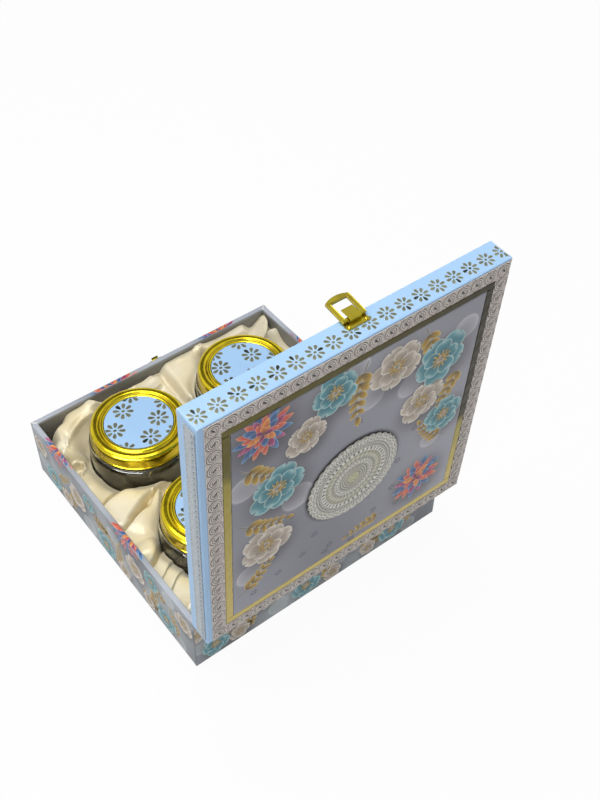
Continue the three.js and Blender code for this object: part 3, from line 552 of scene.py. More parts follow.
# Motifs on each wall: place along the wall, height and reach in millimetres, then kind, or heading and bend.
WALL_BLOSSOMS = [(-97, 16, 14, TEAL), (-52, 34, 14, IVORY), (-8, 15, 15, TEAL), (40, 36, 14, IVORY),
                 (84, 17, 14, TEAL), (112, 46, 12, IVORY), (-74, 12, 10, IVORY), (-30, 48, 10, TEAL),
                 (20, 10, 10, IVORY), (66, 48, 11, TEAL), (58, 12, 9, IVORY), (-112, 44, 11, IVORY)]
WALL_ROSETTES = [(-82, 73, 24), (30, 74, 26)]
WALL_SPRAYS = [(-72, 4, 34, 0.9, 0.25), (18, 2, 36, 1.9, -0.3), (62, 3, 40, 1.2, 0.2),
               (-28, 30, 30, 0.5, -0.4), (98, 8, 30, 1.4, 0.3), (-88, 30, 26, 0.2, 0.4),
               (4, 34, 26, 2.6, 0.3), (44, 14, 28, 0.3, -0.3), (-58, 8, 26, 2.4, 0.3), (88, 36, 24, 2.2, 0.4)]
WALL_DISCS = [(-112, 24, 9), (-36, 12, 10), (8, 44, 9), (58, 30, 8), (104, 8, 8), (-66, 50, 9), (28, 22, 7),
              (92, 54, 8)]
WALL_SHIFTS = {"front": 14, "right": 0, "back": -9, "left": 22}
WALL_TURNS = (0.7, 0.5)
SHADOW_SHIFT = (1.6, -2.4)
WALL_EDGE = HALF_BOX - 0.6 * MM
INK_ALONG_RIM = 4.2 * MM
INK_ON_RIM = 0.35


def shadow_places(motifs, shift=0, fall=1):
    """Where the motifs' shadows lie: each beside and below its motif, and as far as that one reaches."""
    return [(x + shift + SHADOW_SHIFT[0], y + fall * SHADOW_SHIFT[1], reach) for x, y, reach, *_ in motifs]


def wall_place(wall):
    """Takes a place along one wall and up over its rim, and a height off the paper, to space.

    The ink thins to a share of its height where the paper turns over the rim, so the shut lid clears it."""
    def mapping(plan, lift):
        p = np.clip(plan[..., 0], -WALL_EDGE, WALL_EDGE)
        q = np.clip(plan[..., 1], COVER_FOOT + ROUND, RIM_HEIGHT + INK_ALONG_RIM)
        place, normal = along_profile(base_profile, q - COVER_FOOT)
        thinned = lift * (1 - (1 - INK_ON_RIM) * rising(q - RIM_HEIGHT, -2 * ROUND, ROUND))
        spot = place + normal * thinned[..., None]
        turn = wall * math.pi / 2
        out = -(HALF_BOX + spot[..., 0])
        x, y = p * math.cos(turn) - out * math.sin(turn), p * math.sin(turn) + out * math.cos(turn)
        return np.stack([x, y, spot[..., 1]], axis=-1)
    return mapping


base_points, base_lengths, base_walls, base_sides = wrap_square(base_profile, BASE_SPACING)
up = base_lengths[:, None] + COVER_FOOT + 0 * base_sides[None, :]
side = base_sides[None, :] + 0 * up
base_tint = np.zeros((*up.shape, 3))
for wall, (wall_name, shift) in enumerate(WALL_SHIFTS.items()):
    on_wall = base_walls == wall
    p, q = side[:, on_wall] / MM, up[:, on_wall] / MM
    sweep = 0.56 + 0.26 * np.sin(p / 38 + wall) * np.cos(q / 24) + 0.22 * np.sin(p / 15 + 2 * wall)
    shadows = shadow_places(WALL_BLOSSOMS + WALL_ROSETTES, shift)
    discs = [(x + shift, y, reach) for x, y, reach in WALL_DISCS]
    base_tint[:, on_wall] = painted_ground(p, q, sweep, shadows, discs)
    parts = printed_parts(WALL_BLOSSOMS, WALL_ROSETTES, WALL_SPRAYS, WALL_TURNS, shift, wall, finer=2)
    motifs = ink_piece(f"base_print_{wall_name}", parts, wall_place(wall))
    finish_piece(motifs, printed_ink, "base", "printed_board")

WALL_TONE = np.array([0.78, 0.85, 0.8])
RIM_PALE = ink(206, 210, 222)
RIM_SHARE = 0.45
RIM_FADE = 0.6 * MM
INSIDE_GREY = ink(128, 127, 124)
INSIDE_FADE = 3 * MM
RIM_RUB = 0.8 * MM
CORNER_RUB = 1.2 * MM
base_tint *= WALL_TONE
on_rim = rising(base_lengths + COVER_FOOT - RIM_HEIGHT, -RIM_FADE, RIM_FADE)[:, None]
base_tint = mix(base_tint, RIM_PALE, RIM_SHARE * on_rim)
inside = rising(base_lengths - RIM_HEIGHT, WALL_BOARD, INSIDE_FADE)[:, None]
base_tint = mix(base_tint, INSIDE_GREY, inside)
near_rim = bell(base_points[..., 2], RIM_HEIGHT, RIM_RUB)
near_corner = bell(np.abs(side), HALF_BOX, CORNER_RUB)
base_wear = np.clip(0.36 * near_rim + 0.45 * near_corner, 0, 0.7)
base_cover = put_mesh("base_cover", base_points, grid_faces(*up.shape, ring=True),
                      colours=base_tint, masks={"wear": base_wear})
finish_piece(base_cover, paper_material("printed_cover", "tint", "wear"), "base", "printed_board")

# Satin lining: one ivory satin cloth, bunched over soft wadding and tucked down into a well for each jar.
# It is cut larger than the box, so the spare length stands up in folds; its edge is glued along the walls.
JAR_NAMES = ["1", "2", "3", "4"]


def node_centre(node):
    """The middle of a node's box, across and along."""
    low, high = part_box(node)
    return np.array([(low.x + high.x) / 2, (low.y + high.y) / 2])


jar_centres = {name: node_centre(f"jar_{name}_glass") for name in JAR_NAMES}
glass_low, glass_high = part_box("jar_1_glass")
GLASS_RADIUS = (glass_high.x - glass_low.x) / 2
INNER_HALF = HALF_BOX - WALL_BOARD - PAPER_STANDS
SATIN_HALF = INNER_HALF - 0.35 * MM
WELL_RADIUS = GLASS_RADIUS + 0.8 * MM
WELL_FLOOR = glass_low.z - 0.6 * MM
SATIN_LEVEL = 45.5 * MM
SATIN_HIGHEST = 61 * MM
CELLS = 300
# Each fold, in millimetres: start, bend and end in plan, half-width at either end, height, lean and flatness.
FOLDS = [
    ((123, -106), (122, -122), (104, -124), 7, 6, -20, 0.0, 2),
    ((113, -90), (104, -119), (76, -115), 13, 12, 13, 0.1, 2.5),
    ((114, -85), (92, -112), (74, -108), 1.2, 1.1, 2.2, 0.0, 2),
    ((107, -108), (107, -102), (106, -95), 1.1, 1.1, -0.9, 0.0, 2),
    ((111, -102), (112, -96), (110, -91), 1.3, 1.2, 0.8, 0.0, 2),
    ((117, -81), (110, -81), (103, -78), 4.5, 3.5, 3.5, 0.0, 3),
    ((113, -87), (107, -82), (101, -80), 1.8, 1.6, -1.6, 0.0, 2),
    ((117, -73), (110, -75), (106, -71), 1.2, 1.2, 2.6, 0.0, 2),
    ((106, -71), (106, -67), (114, -61), 1.2, 1.0, 2.2, 0.0, 2),
    ((118, -71), (114, -69), (110, -68), 3.4, 2.4, -4, 0.0, 2),
    ((119, -48), (110, -46), (104, -52), 10, 7, 3, 0.0, 2),
    ((119, -3), (92, -17), (58, -16), 12.5, 3.5, 6.5, 0.0, 8),
    ((119, -14), (96, -28), (57, -17), 5, 4, 3, -0.8, 1.2),
    ((119, -20), (104, -30), (84, -31), 1.0, 0.9, -4.5, 0.0, 2),
    ((116, 9), (91, -5), (62, -13), 5, 4, 3.5, 0.8, 1.2),
    ((119, 13), (110, 9), (97, 3), 0.9, 1.2, -4, 0.0, 2),
    ((119, 30), (100, 20), (74, -6), 20, 3.5, 6.5, 0.0, 8),
    ((107, 5), (97, 3), (88, 0), 0.9, 2.6, -6.5, 0.0, 2),
    ((88, 0), (80, -4), (72, -9), 2.6, 0.9, -6.5, 0.0, 2),
    ((112, 20), (108, 28), (103, 27), 6, 5, -1.8, 0.0, 2),
    ((112, 50), (109, 74), (112, 102), 16, 14, 6, 0.0, 6),
    ((119, 53), (110, 47), (96, 35), 6, 5, 3.2, 0.85, 1.2),
    ((119, 57), (110, 51), (96, 39), 1.0, 1.1, -6, 0.0, 2),
    ((119, 71), (111, 62), (100, 59), 5, 5, 3.2, 0.85, 1.2),
    ((119, 84), (111, 75), (99, 71), 5, 5, 3.2, 0.85, 1.2),
    ((118, 112), (104, 108), (84, 114), 10, 9, 10, -0.3, 1.6),
    ((-22, -123), (-19, -104), (-12, -76), 21, 10, 12, 0.12, 6),
    ((1, -122), (3, -108), (2, -90), 3, 2, 2.5, 0.0, 1),
    ((-44, -119), (-34, -112), (-22, -116), 6, 5, 2, 0.3, 1),
    ((8, -119), (22, -112), (40, -118), 4.5, 4, 7, 0.4, 1),
    ((6, -108), (16, -104), (26, -110), 3.5, 3, 5, -0.4, 1),
    ((48, -119), (58, -113), (70, -118), 5, 5, 6, 0.0, 1.4),
    ((-48, -119), (-66, -112), (-92, -118), 8, 9, 12.5, 0.3, 2),
    ((-119, -117), (-112, -108), (-102, -96), 6, 6, 13, -0.4, 1.4),
    ((-119, -98), (-110, -96), (-101, -90), 5, 5, 10, 0.4, 1.4),
    ((-119, -70), (-106, -60), (-117, -40), 6, 7, 8, 0.4, 1.4),
    ((-119, -6), (-90, 8), (-52, -4), 12, 6, 10.5, 0.3, 5),
    ((-118, 24), (-96, 20), (-72, 8), 5, 4, -7, 0.0, 1.4),
    ((-119, 44), (-108, 52), (-116, 74), 7, 6, 9, -0.4, 1.4),
    ((-118, 112), (-104, 104), (-88, 116), 9, 9, 11, 0.3, 1.6),
    ((-12, 118), (4, 100), (-4, 72), 11, 7, 11, 0.4, 4),
    ((28, 118), (22, 104), (14, 92), 6, 5, 8, -0.4, 1.4),
    ((-40, 118), (-30, 112), (-18, 92), 6, 5, 8, 0.4, 1.4),
    ((-20, -30), (2, -6), (24, 26), 10, 9, 9, 0.3, 4),
    ((-4, -62), (6, -40), (-2, -22), 8, 9, 8, -0.4, 2),
]
OVERHANG = 0.7
FOLD_STEPS = 36
CREST_ROUND = 0.6 * MM
SIDE_BLEND = 1 * MM


def fold_shape(x, y, start, bend, end, first_width, last_width, height, lean, flatness):
    """One fold over the plan, as its height and its shift sideways: a bump along a curve of three points.

    The bump is height times exp(-(d / w) to the power flatness). Here d is the distance from the curve, with
    a rounded crest, and w the half-width there, which lean makes narrower on one side and wider on the
    other. The bump also leans over towards its narrow side."""
    t = np.linspace(0, 1, FOLD_STEPS)[:, None]
    start, bend, end = (np.array(point) * MM for point in (start, bend, end))
    curve = (1 - t) ** 2 * start + 2 * t * (1 - t) * bend + t ** 2 * end
    away_x, away_y = x[..., None] - curve[:, 0], y[..., None] - curve[:, 1]
    nearest = np.argmin(away_x ** 2 + away_y ** 2, axis=-1)
    heading = np.gradient(curve, axis=0)
    heading = (heading / np.linalg.norm(heading, axis=1, keepdims=True))[nearest]
    dx, dy = x - curve[nearest, 0], y - curve[nearest, 1]
    side = np.tanh((heading[..., 0] * dy - heading[..., 1] * dx) / SIDE_BLEND)
    width = first_width + (last_width - first_width) * nearest / (FOLD_STEPS - 1)
    far = np.sqrt(dx ** 2 + dy ** 2 + CREST_ROUND ** 2) - CREST_ROUND
    bump = height * MM * np.exp(-(far / (width * MM * (1 + lean * side))) ** flatness)
    over = -OVERHANG * lean * bump
    return bump, np.stack([-heading[..., 1] * over, heading[..., 0] * over], axis=-1)


WADDING_LOWEST = 30 * MM
WELL_SINK = 1.5
NEAR_SIDE_SINK = 5.5
SINK_WIDTH = 6 * MM
NEAR_SIDE = math.radians(45)


def wadding_shape(x, y):
    """The wadding's top and its sideways lean: a level with every fold, sunk at the jars' near sides."""
    top = np.full_like(x, SATIN_LEVEL)
    shift = np.zeros((*x.shape, 2))
    for fold in FOLDS:
        bump, over = fold_shape(x, y, *fold)
        top, shift = top + bump, shift + over
    for centre in jar_centres.values():
        far = np.hypot(x - centre[0], y - centre[1])
        near_side = 0.5 + 0.5 * np.cos(np.arctan2(y - centre[1], x - centre[0]) - NEAR_SIDE)
        top -= (WELL_SINK + NEAR_SIDE_SINK * near_side) * MM * bell(far, WELL_RADIUS, SINK_WIDTH)
    return np.clip(top, WADDING_LOWEST, SATIN_HIGHEST), shift


LEAN_FROM_WELL = 9 * MM
EDGE_GLUED = 5 * MM
WELL_ROUND = 3 * MM
FLOOR_SHARE = 0.62
HEEL_QUICKNESS = 6
CLIMB_POWER = 1.15
TINY = 1e-9


def beyond_wells(points):
    """0 in and at the wells, rising to 1 at a short distance from the nearest one."""
    away = [np.hypot(points[..., 0] - x, points[..., 1] - y) for x, y in jar_centres.values()]
    return rising(np.min(away, axis=0), WELL_RADIUS, LEAN_FROM_WELL)[..., None]


def tucked_plan():
    """The flat cloth's grid laid over the box, with each well's disc spread on its floor and up its side.

    Within a well the cloth's distance from the middle runs over the floor at first, then climbs."""
    step = np.linspace(-SATIN_HALF, SATIN_HALF, CELLS + 1)
    x, y = np.meshgrid(step, step)
    z, shift = wadding_shape(x, y)
    flat = np.stack([x, y], axis=-1)
    from_edge = SATIN_HALF - np.abs(flat).max(axis=-1)
    shift *= beyond_wells(flat) * rising(from_edge, 0, EDGE_GLUED)[..., None]
    for centre in jar_centres.values():
        dx, dy = x - centre[0], y - centre[1]
        far = np.hypot(dx, dy)
        share = far / WELL_RADIUS
        inside = share < 1
        climb = rising(share, FLOOR_SHARE, 1 - FLOOR_SHARE)
        heel = WELL_ROUND * np.clip(1 - climb * HEEL_QUICKNESS, 0, 1) ** 2
        reach = np.where(share < FLOOR_SHARE, (WELL_RADIUS - WELL_ROUND) * share / FLOOR_SHARE,
                         WELL_RADIUS - heel)
        scale = np.where(inside, reach / np.maximum(far, TINY), 1)
        z = np.where(inside, WELL_FLOOR + (z - WELL_FLOOR) * climb ** CLIMB_POWER, z)
        x, y = np.where(inside, centre[0] + dx * scale, x), np.where(inside, centre[1] + dy * scale, y)
    return np.stack([x + shift[..., 0], y + shift[..., 1], z], axis=-1)


cloth_step = np.linspace(0, 1, CELLS + 1)
satin = put_mesh("satin_cloth", tucked_plan(), grid_faces(CELLS + 1, CELLS + 1),
                 uv=np.stack(np.meshgrid(cloth_step, cloth_step), axis=-1))
WARP_SCALE = (420, 14, 1)


def satin_material():
    """Ivory satin: warm pale threads with a soft sheen, faint warp streaks and fine crinkles."""
    material, tree, shader = new_material("ivory_satin", Metallic=0.12, Sheen_Weight=0.25, Anisotropic=0.4)
    place = object_place(tree)
    warp = add_node(tree, "ShaderNodeMapping", {"Vector": own_uv(tree), "Scale": WARP_SCALE}).outputs[0]
    streak = noise(tree, warp, 1.0)
    cloud = noise(tree, place, 30.0)
    tone = maths(tree, "ADD", maths(tree, "MULTIPLY", streak, 0.15), maths(tree, "MULTIPLY", cloud, 0.85))
    colour = blend_colours(tree, ramp(tree, tone, 0.3, 0.7), srgb(228, 213, 172), srgb(243, 233, 206))
    put(tree, shader, {"Base Color": colour, "Roughness": maths(tree, "MULTIPLY_ADD", streak, 0.06, 0.36)})
    crinkle = noise(tree, place, 90.0)
    add_bump(tree, shader, maths(tree, "MULTIPLY_ADD", streak, 0.02, crinkle), 0.3 * MM, 0.4)
    return material


finish_piece(satin, satin_material(), "base", "satin", "satin_lining")

# Jars: four squat clear jars, each a turned glass with a short threaded neck and a pushed-up foot.
# They stand in the satin's wells, and each lifts straight out.
NECK_RADIUS = 39 * MM
GLASS_WALL = 3 * MM
THREAD_STANDS = 0.8 * MM
THREAD_WIDE = 0.8 * MM
THREADS = 4
SAME_SPOT = 1e-8
ON_AXIS = 1e-6
cap_low, cap_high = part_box("jar_1_cap")
label_low, label_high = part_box("jar_1_label")


def rounded_path(corners):
    """A path of straight runs with rounded corners, each given as (across, up, reach of the round).

    A corner's round is the curve (1 - s)^2 p + 2 s (1 - s) corner + s^2 q between points on its two runs."""
    spots = np.array([corner[:2] for corner in corners], float)
    s = np.linspace(0, 1, ROUND_STEPS)[:, None]
    path = [spots[:1]]
    for before, corner, after, (_, _, reach) in zip(spots, spots[1:], spots[2:], corners[1:-1]):
        back, ahead = before - corner, after - corner
        p = corner + back * min(reach / np.linalg.norm(back), 0.5)
        q = corner + ahead * min(reach / np.linalg.norm(ahead), 0.5)
        path.append((1 - s) ** 2 * p + 2 * s * (1 - s) * corner + s ** 2 * q)
    return np.concatenate([*path, spots[-1:]])


def turned(name, profile, centre, steps=112, swell=None):
    """A profile of radius and height turned about an upright line.

    Ends on the line close in one point, and a profile that ends where it starts closes on itself. The
    profile's area by its corners is positive where it climbs the outside, which tells which way its faces
    point. swell, if given, adds to the radius as a function of angle, height and radius."""
    moves = np.abs(np.diff(profile, axis=0)).max(axis=1) > SAME_SPOT
    profile = profile[np.concatenate([[True], moves])]
    angle = np.linspace(0, 2 * math.pi, steps, endpoint=False)[None, :]
    r, z = profile.T
    climbs = np.sum(r * np.roll(z, -1) - np.roll(r, -1) * z) > 0
    on_axis = r < ON_AXIS
    closed = np.allclose(profile[0], profile[-1]) and not on_axis[0]
    rings = profile[:-1] if closed else profile[~on_axis]
    radius = rings[:, :1] + 0 * angle
    if swell is not None:
        radius = radius + swell(angle, rings[:, 1:] + 0 * angle, radius)
    points = np.stack([centre[0] + radius * np.cos(angle), centre[1] + radius * np.sin(angle),
                       rings[:, 1:] + 0 * angle], axis=-1).reshape(-1, 3)
    quads = grid_faces(len(rings) + closed, steps, ring=True) % len(points)
    faces = [quads[:, [0, 1, 2]], quads[:, [0, 2, 3]]]
    column = np.arange(steps)
    after = (column + 1) % steps
    if on_axis[0]:
        faces.append(np.stack([np.full(steps, len(points)), after, column], axis=1))
        points = np.concatenate([points, [[*centre, profile[0, 1]]]])
    if on_axis[-1]:
        last = (len(rings) - 1) * steps
        faces.append(np.stack([np.full(steps, len(points)), last + column, last + after], axis=1))
        points = np.concatenate([points, [[*centre, profile[-1, 1]]]])
    return put_mesh(name, points, np.concatenate(faces)[:, ::1 if climbs else -1])


def glass_profile():
    """The jar from the middle of its foot, up the outside, over the lip and down the inside."""
    foot, top = glass_low.z, glass_high.z
    shoulder = cap_low.z - 1 * MM
    outer, inner, mouth = GLASS_RADIUS, GLASS_RADIUS - GLASS_WALL, NECK_RADIUS - GLASS_WALL
    heel, step = 9 * MM, 6 * MM
    return rounded_path([
        (0, foot + 0.8 * MM, 0), (outer - 13 * MM, foot + 0.8 * MM, 1 * MM),
        (outer - 11 * MM, foot, 1.5 * MM), (outer, foot, heel), (outer, shoulder, step),
        (NECK_RADIUS, shoulder, 0.8 * MM),
        *((NECK_RADIUS, shoulder + rise * MM, 0.2 * MM) for rise in (2, 4, 6, 8)),
        (NECK_RADIUS, top, 1.4 * MM), (mouth, top, 1.4 * MM), (mouth, shoulder - 2 * MM, 2 * MM),
        (inner, shoulder - 4 * MM, step), (inner, foot + 4.5 * MM, heel), (0, foot + 4.5 * MM, 0)])


def glass_threads(angle, height, radius):
    """Four short slanted threads round the neck: a bump across each thread, faded at its ends."""
    share = (angle / (2 * math.pi) * THREADS) % 1
    middle = cap_low.z + (4.2 + 2.2 * share) * MM
    ends = np.clip(np.sin(math.pi * rising(share, 0.1, 0.7)) * 3, 0, 1)
    on_neck = np.abs(radius - NECK_RADIUS) < 0.1 * MM
    return THREAD_STANDS * bell(height, middle, THREAD_WIDE) * ends * on_neck


def glass_material():
    """Clear soda glass with a slight grey-green body and faint waves from the mould."""
    material, tree, shader = new_material(
        "clear_glass", Base_Color=srgb(202, 200, 182), Roughness=0.02, IOR=1.5, Transmission_Weight=1.0)
    add_bump(tree, shader, noise(tree, object_place(tree), 40.0, 1.0), 0.4 * MM, 0.2)
    return material


clear_glass = glass_material()
for name in JAR_NAMES:
    glass = turned(f"jar_{name}_body", glass_profile(), jar_centres[name], swell=glass_threads)
    finish_piece(glass, clear_glass, f"jar_{name}", "glass", f"jar_{name}_glass")

# Liners: a soft white sealing ring, flowed into each cap against the jar's lip.
# It stays in the cap and lifts off with it.
liner_low, liner_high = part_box("jar_1_liner")
LINER_OUTER = (liner_high.x - liner_low.x) / 2
LINER_INNER = LINER_OUTER - 3.4 * MM
LINER_ROUND = 0.4 * MM
liner_middle = (liner_low.z + liner_high.z) / 2
liner_section = rounded_path([
    (LINER_INNER, liner_middle, 0), (LINER_INNER, liner_low.z, LINER_ROUND),
    (LINER_OUTER, liner_low.z, LINER_ROUND), (LINER_OUTER, liner_high.z, LINER_ROUND),
    (LINER_INNER, liner_high.z, LINER_ROUND), (LINER_INNER, liner_middle, 0)])


def liner_material():
    """Sealing compound: off-white and matte, with faint flow marks."""
    material, tree, shader = new_material("seal_compound")
    mark = noise(tree, object_place(tree), 300.0, 3.0)
    colour = blend_colours(tree, mark, srgb(222, 216, 202), srgb(238, 234, 224))
    put(tree, shader, {"Base Color": colour, "Roughness": maths(tree, "MULTIPLY_ADD", mark, 0.2, 0.55)})
    add_bump(tree, shader, mark, 0.05 * MM)
    return material


seal_compound = liner_material()
for name in JAR_NAMES:
    liner = turned(f"jar_{name}_seal", liner_section, jar_centres[name])
    finish_piece(liner, seal_compound, f"liner_{name}", "seal", f"jar_{name}_liner")

# Caps: pressed tinplate lug caps in gold lacquer, with a recess, an inner ring, a groove, a crown and a skirt
# that ends in a rolled bead. They turn and lift off.
CAP_RADIUS = (cap_high.x - cap_low.x) / 2
RECESS_RADIUS = (label_high.x - label_low.x) / 2 + 0.3 * MM


def cap_profile():
    """The cap in millimetres, from its recess over ring, groove and crown, down the skirt and inside."""
    base, top, outer, recess = (size / MM for size in (cap_low.z, cap_high.z, CAP_RADIUS, RECESS_RADIUS))
    floor = label_low.z / MM - 0.3
    skirt, inside, groove = outer - 0.7, outer - 1.6, recess + 4.1
    return MM * rounded_path([
        (0, floor, 0), (recess, floor, 0.3), (recess + 0.4, top - 0.5, 0.5), (recess + 1.6, top - 0.05, 0.8),
        (groove - 1.1, top - 0.3, 0.7), (groove - 0.5, top - 1.1, 0.4), (groove, top - 1.7, 0.3),
        (groove + 0.5, top - 1.1, 0.4), (groove + 1.3, top - 0.3, 0.7), (groove + 3.6, top, 1.2),
        (skirt - 2, top - 0.5, 1), (skirt - 0.5, top - 2.1, 1.2), (skirt, top - 4.2, 0.8),
        (skirt, base + 2.2, 0.6), (outer - 0.2, base + 1.7, 0.5), (outer, base + 0.9, 0.6),
        (outer - 0.5, base, 0.6), (inside + 0.3, base + 0.1, 0.4), (inside, base + 1.2, 0.6),
        (inside, top - 3, 1), (inside - 1, top - 2.2, 0.8), (0, top - 2.2, 0)])


def gold_group():
    """Gold lacquer and plate: slight cloudiness, fine rub marks that dull it, and tiny dents."""
    tree, inputs, result = new_group(
        "gold_surface", [("Color", COLOUR), ("Shade", COLOUR), ("Gloss", NUMBER)], SURFACE)
    place = object_place(tree)
    cloud = noise(tree, place, 90.0, 3.0)
    rub = noise(tree, place, 400.0, 4.0, 0.6)
    clouded = blend_colours(tree, ramp(tree, cloud, 0.35, 0.75), inputs["Color"], inputs["Shade"])
    rough = maths(tree, "MULTIPLY_ADD", rub, 0.06, inputs["Gloss"])
    put(tree, result, {"Color": clouded, "Roughness": rough, "Height": cloud})
    return tree


GOLD = gold_group()


def gold_material(name, colour, shade, gloss, coat):
    """Bright gold metal in two near tones, under a clear coat."""
    material, tree, shader = new_material(name, Metallic=1.0, Coat_Weight=coat, Coat_Roughness=0.05)
    gold = place_group(tree, GOLD, {"Color": colour, "Shade": shade, "Gloss": gloss})
    lay_surface(tree, shader, gold)
    add_bump(tree, shader, gold["Height"], 0.01 * MM, 0.3)
    return material


gold_lacquer = gold_material("gold_lacquer", srgb(208, 186, 22), srgb(174, 152, 10), 0.13, coat=0.3)
for name in JAR_NAMES:
    cap = turned(f"jar_{name}_lug_cap", cap_profile(), jar_centres[name], steps=144)
    finish_piece(cap, gold_lacquer, f"cap_{name}", "gold_cap", f"jar_{name}_cap")

# Labels: a disc of light blue paper glued in each cap's recess, with foil daisies stamped on it.
# The daisies are cut off where the disc was punched out of a larger printed sheet.
BLUE_PAPER = srgb(166, 204, 242)
blue_paper = paper_material("blue_paper", BLUE_PAPER)
LABEL_RADIUS = (label_high.x - label_low.x) / 2
LABEL_DAISY = 9.3 * MM
LABEL_DAISIES = {
    "1": [(4.3, -18), (21.3, -3.2), (-15.8, 6.2), (0.6, 20.1), (-10.5, -30), (-30, -6.5), (25, 21),
          (-20, 28)],
    "2": [(-13.3, -7.2), (18.2, -10.3), (-13.1, -27), (13.8, -29), (22, 12), (-2, 14), (-29, 9)],
    "3": [(20, -3), (-6, -16), (3, 12), (-19, 6), (10, -28), (26, 20), (-14, 27)],
    "4": [(-18, -8), (8, -14), (-8, 14), (17, 8), (-10, -29), (28, -14), (10, 29)],
}
LABEL_TOP = label_high.z + 0.15 * MM
LABEL_MARGIN = 0.4 * MM
LEAST_ON_LABEL = 0.2
FOIL_STANDS = 0.06 * MM
FOIL_DOME = 0.1 * MM
FOIL_SEED = 7
PETALS = 8
FOIL_OLIVE = ink(112, 119, 102)
FOIL_DARK = ink(34, 50, 50)
FOIL_PALE = ink(222, 232, 232)


def daisy_patches(centres, reach, spin, dark_share):
    """Stamped daisies: eight drop-shaped petals and an eye each, with a pale edge and a few dark petals."""
    count = len(centres)
    turn = spin + 2 * math.pi * np.arange(PETALS) / PETALS
    ways = np.stack([np.cos(turn), np.sin(turn)], axis=1)
    roots = (centres[:, None, :] + 0.27 * reach * ways[None]).reshape(-1, 2)
    petals = leaf_shape(roots, np.tile(turn, count), 0.73 * reach, 0.205 * reach, 1.5, 0.6, rows=11)
    eyes = leaf_shape(centres - np.array([0.19 * reach, 0]), np.zeros(count), 0.38 * reach, 0.17 * reach,
                      1.0, 0.5, rows=11)
    plan, a, b = (np.concatenate(pair) for pair in zip(petals, eyes))
    chance = np.random.default_rng(FOIL_SEED).random(len(plan))[:, None, None, None]
    rim = rising(np.maximum(np.abs(b), np.abs(2 * a - 1)), 0.8, 0.12)
    tint = np.where(chance < dark_share, FOIL_DARK, FOIL_OLIVE * (0.8 + 0.5 * chance))
    dome = FOIL_DOME * (1 - b ** 2) * (1 - (2 * a - 1) ** 4)
    return plan, dome, mix(tint, FOIL_PALE, rim), 1 - 0.8 * rim


def daisy_piece(name, plan, dome, tint, foil, mapping):
    """Daisies as one stamped foil piece; mapping takes plan and height to space."""
    return patch_piece(name, mapping(plan, FOIL_STANDS + dome), colours=tint, masks={"foil": foil})


def disc_place(centre):
    """Takes a plan and a height to a label's disc, held inside its edge."""
    def mapping(plan, lift):
        far = np.hypot(plan[..., 0], plan[..., 1])
        inside = np.minimum(1, (LABEL_RADIUS - LABEL_MARGIN) / np.maximum(far, TINY))[..., None]
        return np.concatenate([centre + plan * inside, (LABEL_TOP + lift)[..., None]], axis=-1)
    return mapping


def foil_material():
    """Stamped metal foil, coloured by the piece's tint, with a paler paper edge where the stamp ends."""
    material, tree, shader = new_material("stamped_foil")
    tint = own_value(tree, "tint", "Color")
    lay_surface(tree, shader, place_group(tree, GOLD, {"Color": tint, "Shade": tint, "Gloss": 0.3}))
    put(tree, shader, {"Metallic": maths(tree, "MULTIPLY", own_value(tree, "foil", "Fac"), 0.55)})
    add_bump(tree, shader, noise(tree, object_place(tree), 700.0), 0.08 * MM)
    return material


stamped_foil = foil_material()
label_section = rounded_path([(0, label_low.z, 0), (LABEL_RADIUS, label_low.z, 0.1 * MM),
                              (LABEL_RADIUS, LABEL_TOP, 0.2 * MM), (0, LABEL_TOP, 0)])
for name in JAR_NAMES:
    disc = turned(f"jar_{name}_disc", label_section, jar_centres[name])
    finish_piece(disc, blue_paper, f"cap_{name}", "blue_label", f"jar_{name}_label")
    stamped = daisy_patches(np.array(LABEL_DAISIES[name]) * MM, LABEL_DAISY, 0.2, 0.04)
    on_label = np.hypot(stamped[0][..., 0], stamped[0][..., 1]) < LABEL_RADIUS
    kept = on_label.mean(axis=(1, 2)) > LEAST_ON_LABEL
    stamped = [values[kept] for values in stamped]
    daisies = daisy_piece(f"jar_{name}_daisies", *stamped, disc_place(jar_centres[name]))
    finish_piece(daisies, stamped_foil, f"cap_{name}", "gold_foil")

# Lid: a panel and four shallow walls of board, covered in light blue paper that is turned in under the rim.
# It swings on two hinges at the back and stands open a little past upright.


def joint_of(name):
    """The construction's joint of that name."""
    return next(joint for joint in frame["joints"] if joint["name"] == name)


HINGE_Y, HINGE_Z = joint_of("lid_hinge")["pos_m"][1:]
LID_SWING = math.radians(-joint_of("lid_hinge")["range_deg"][0])
LID_BOARDS = ["lid_top_panel", "lid_front_wall", "lid_back_wall", "lid_left_wall", "lid_right_wall"]


def swung(points, angle):
    """Points turned about the hinge line by an angle, from shut towards open."""
    dy, dz = points[..., 1] - HINGE_Y, points[..., 2] - HINGE_Z
    c, s = math.cos(angle), math.sin(angle)
    return np.stack([points[..., 0], HINGE_Y + dy * c + dz * s, HINGE_Z - dy * s + dz * c], axis=-1)


def opened(points):
    """Points of the shut lid, carried to where the lid stands open."""
    return swung(points, LID_SWING)


def shut_box(node):
    """The lowest and highest corners that a node on the lid has when the lid is shut."""
    corners = frame["nodes"][node].data.vertices
    flat = np.empty(3 * len(corners), np.float32)
    corners.foreach_get("co", flat)
    shut = swung(flat.reshape(-1, 3).astype(float), -LID_SWING)
    return shut.min(axis=0), shut.max(axis=0)


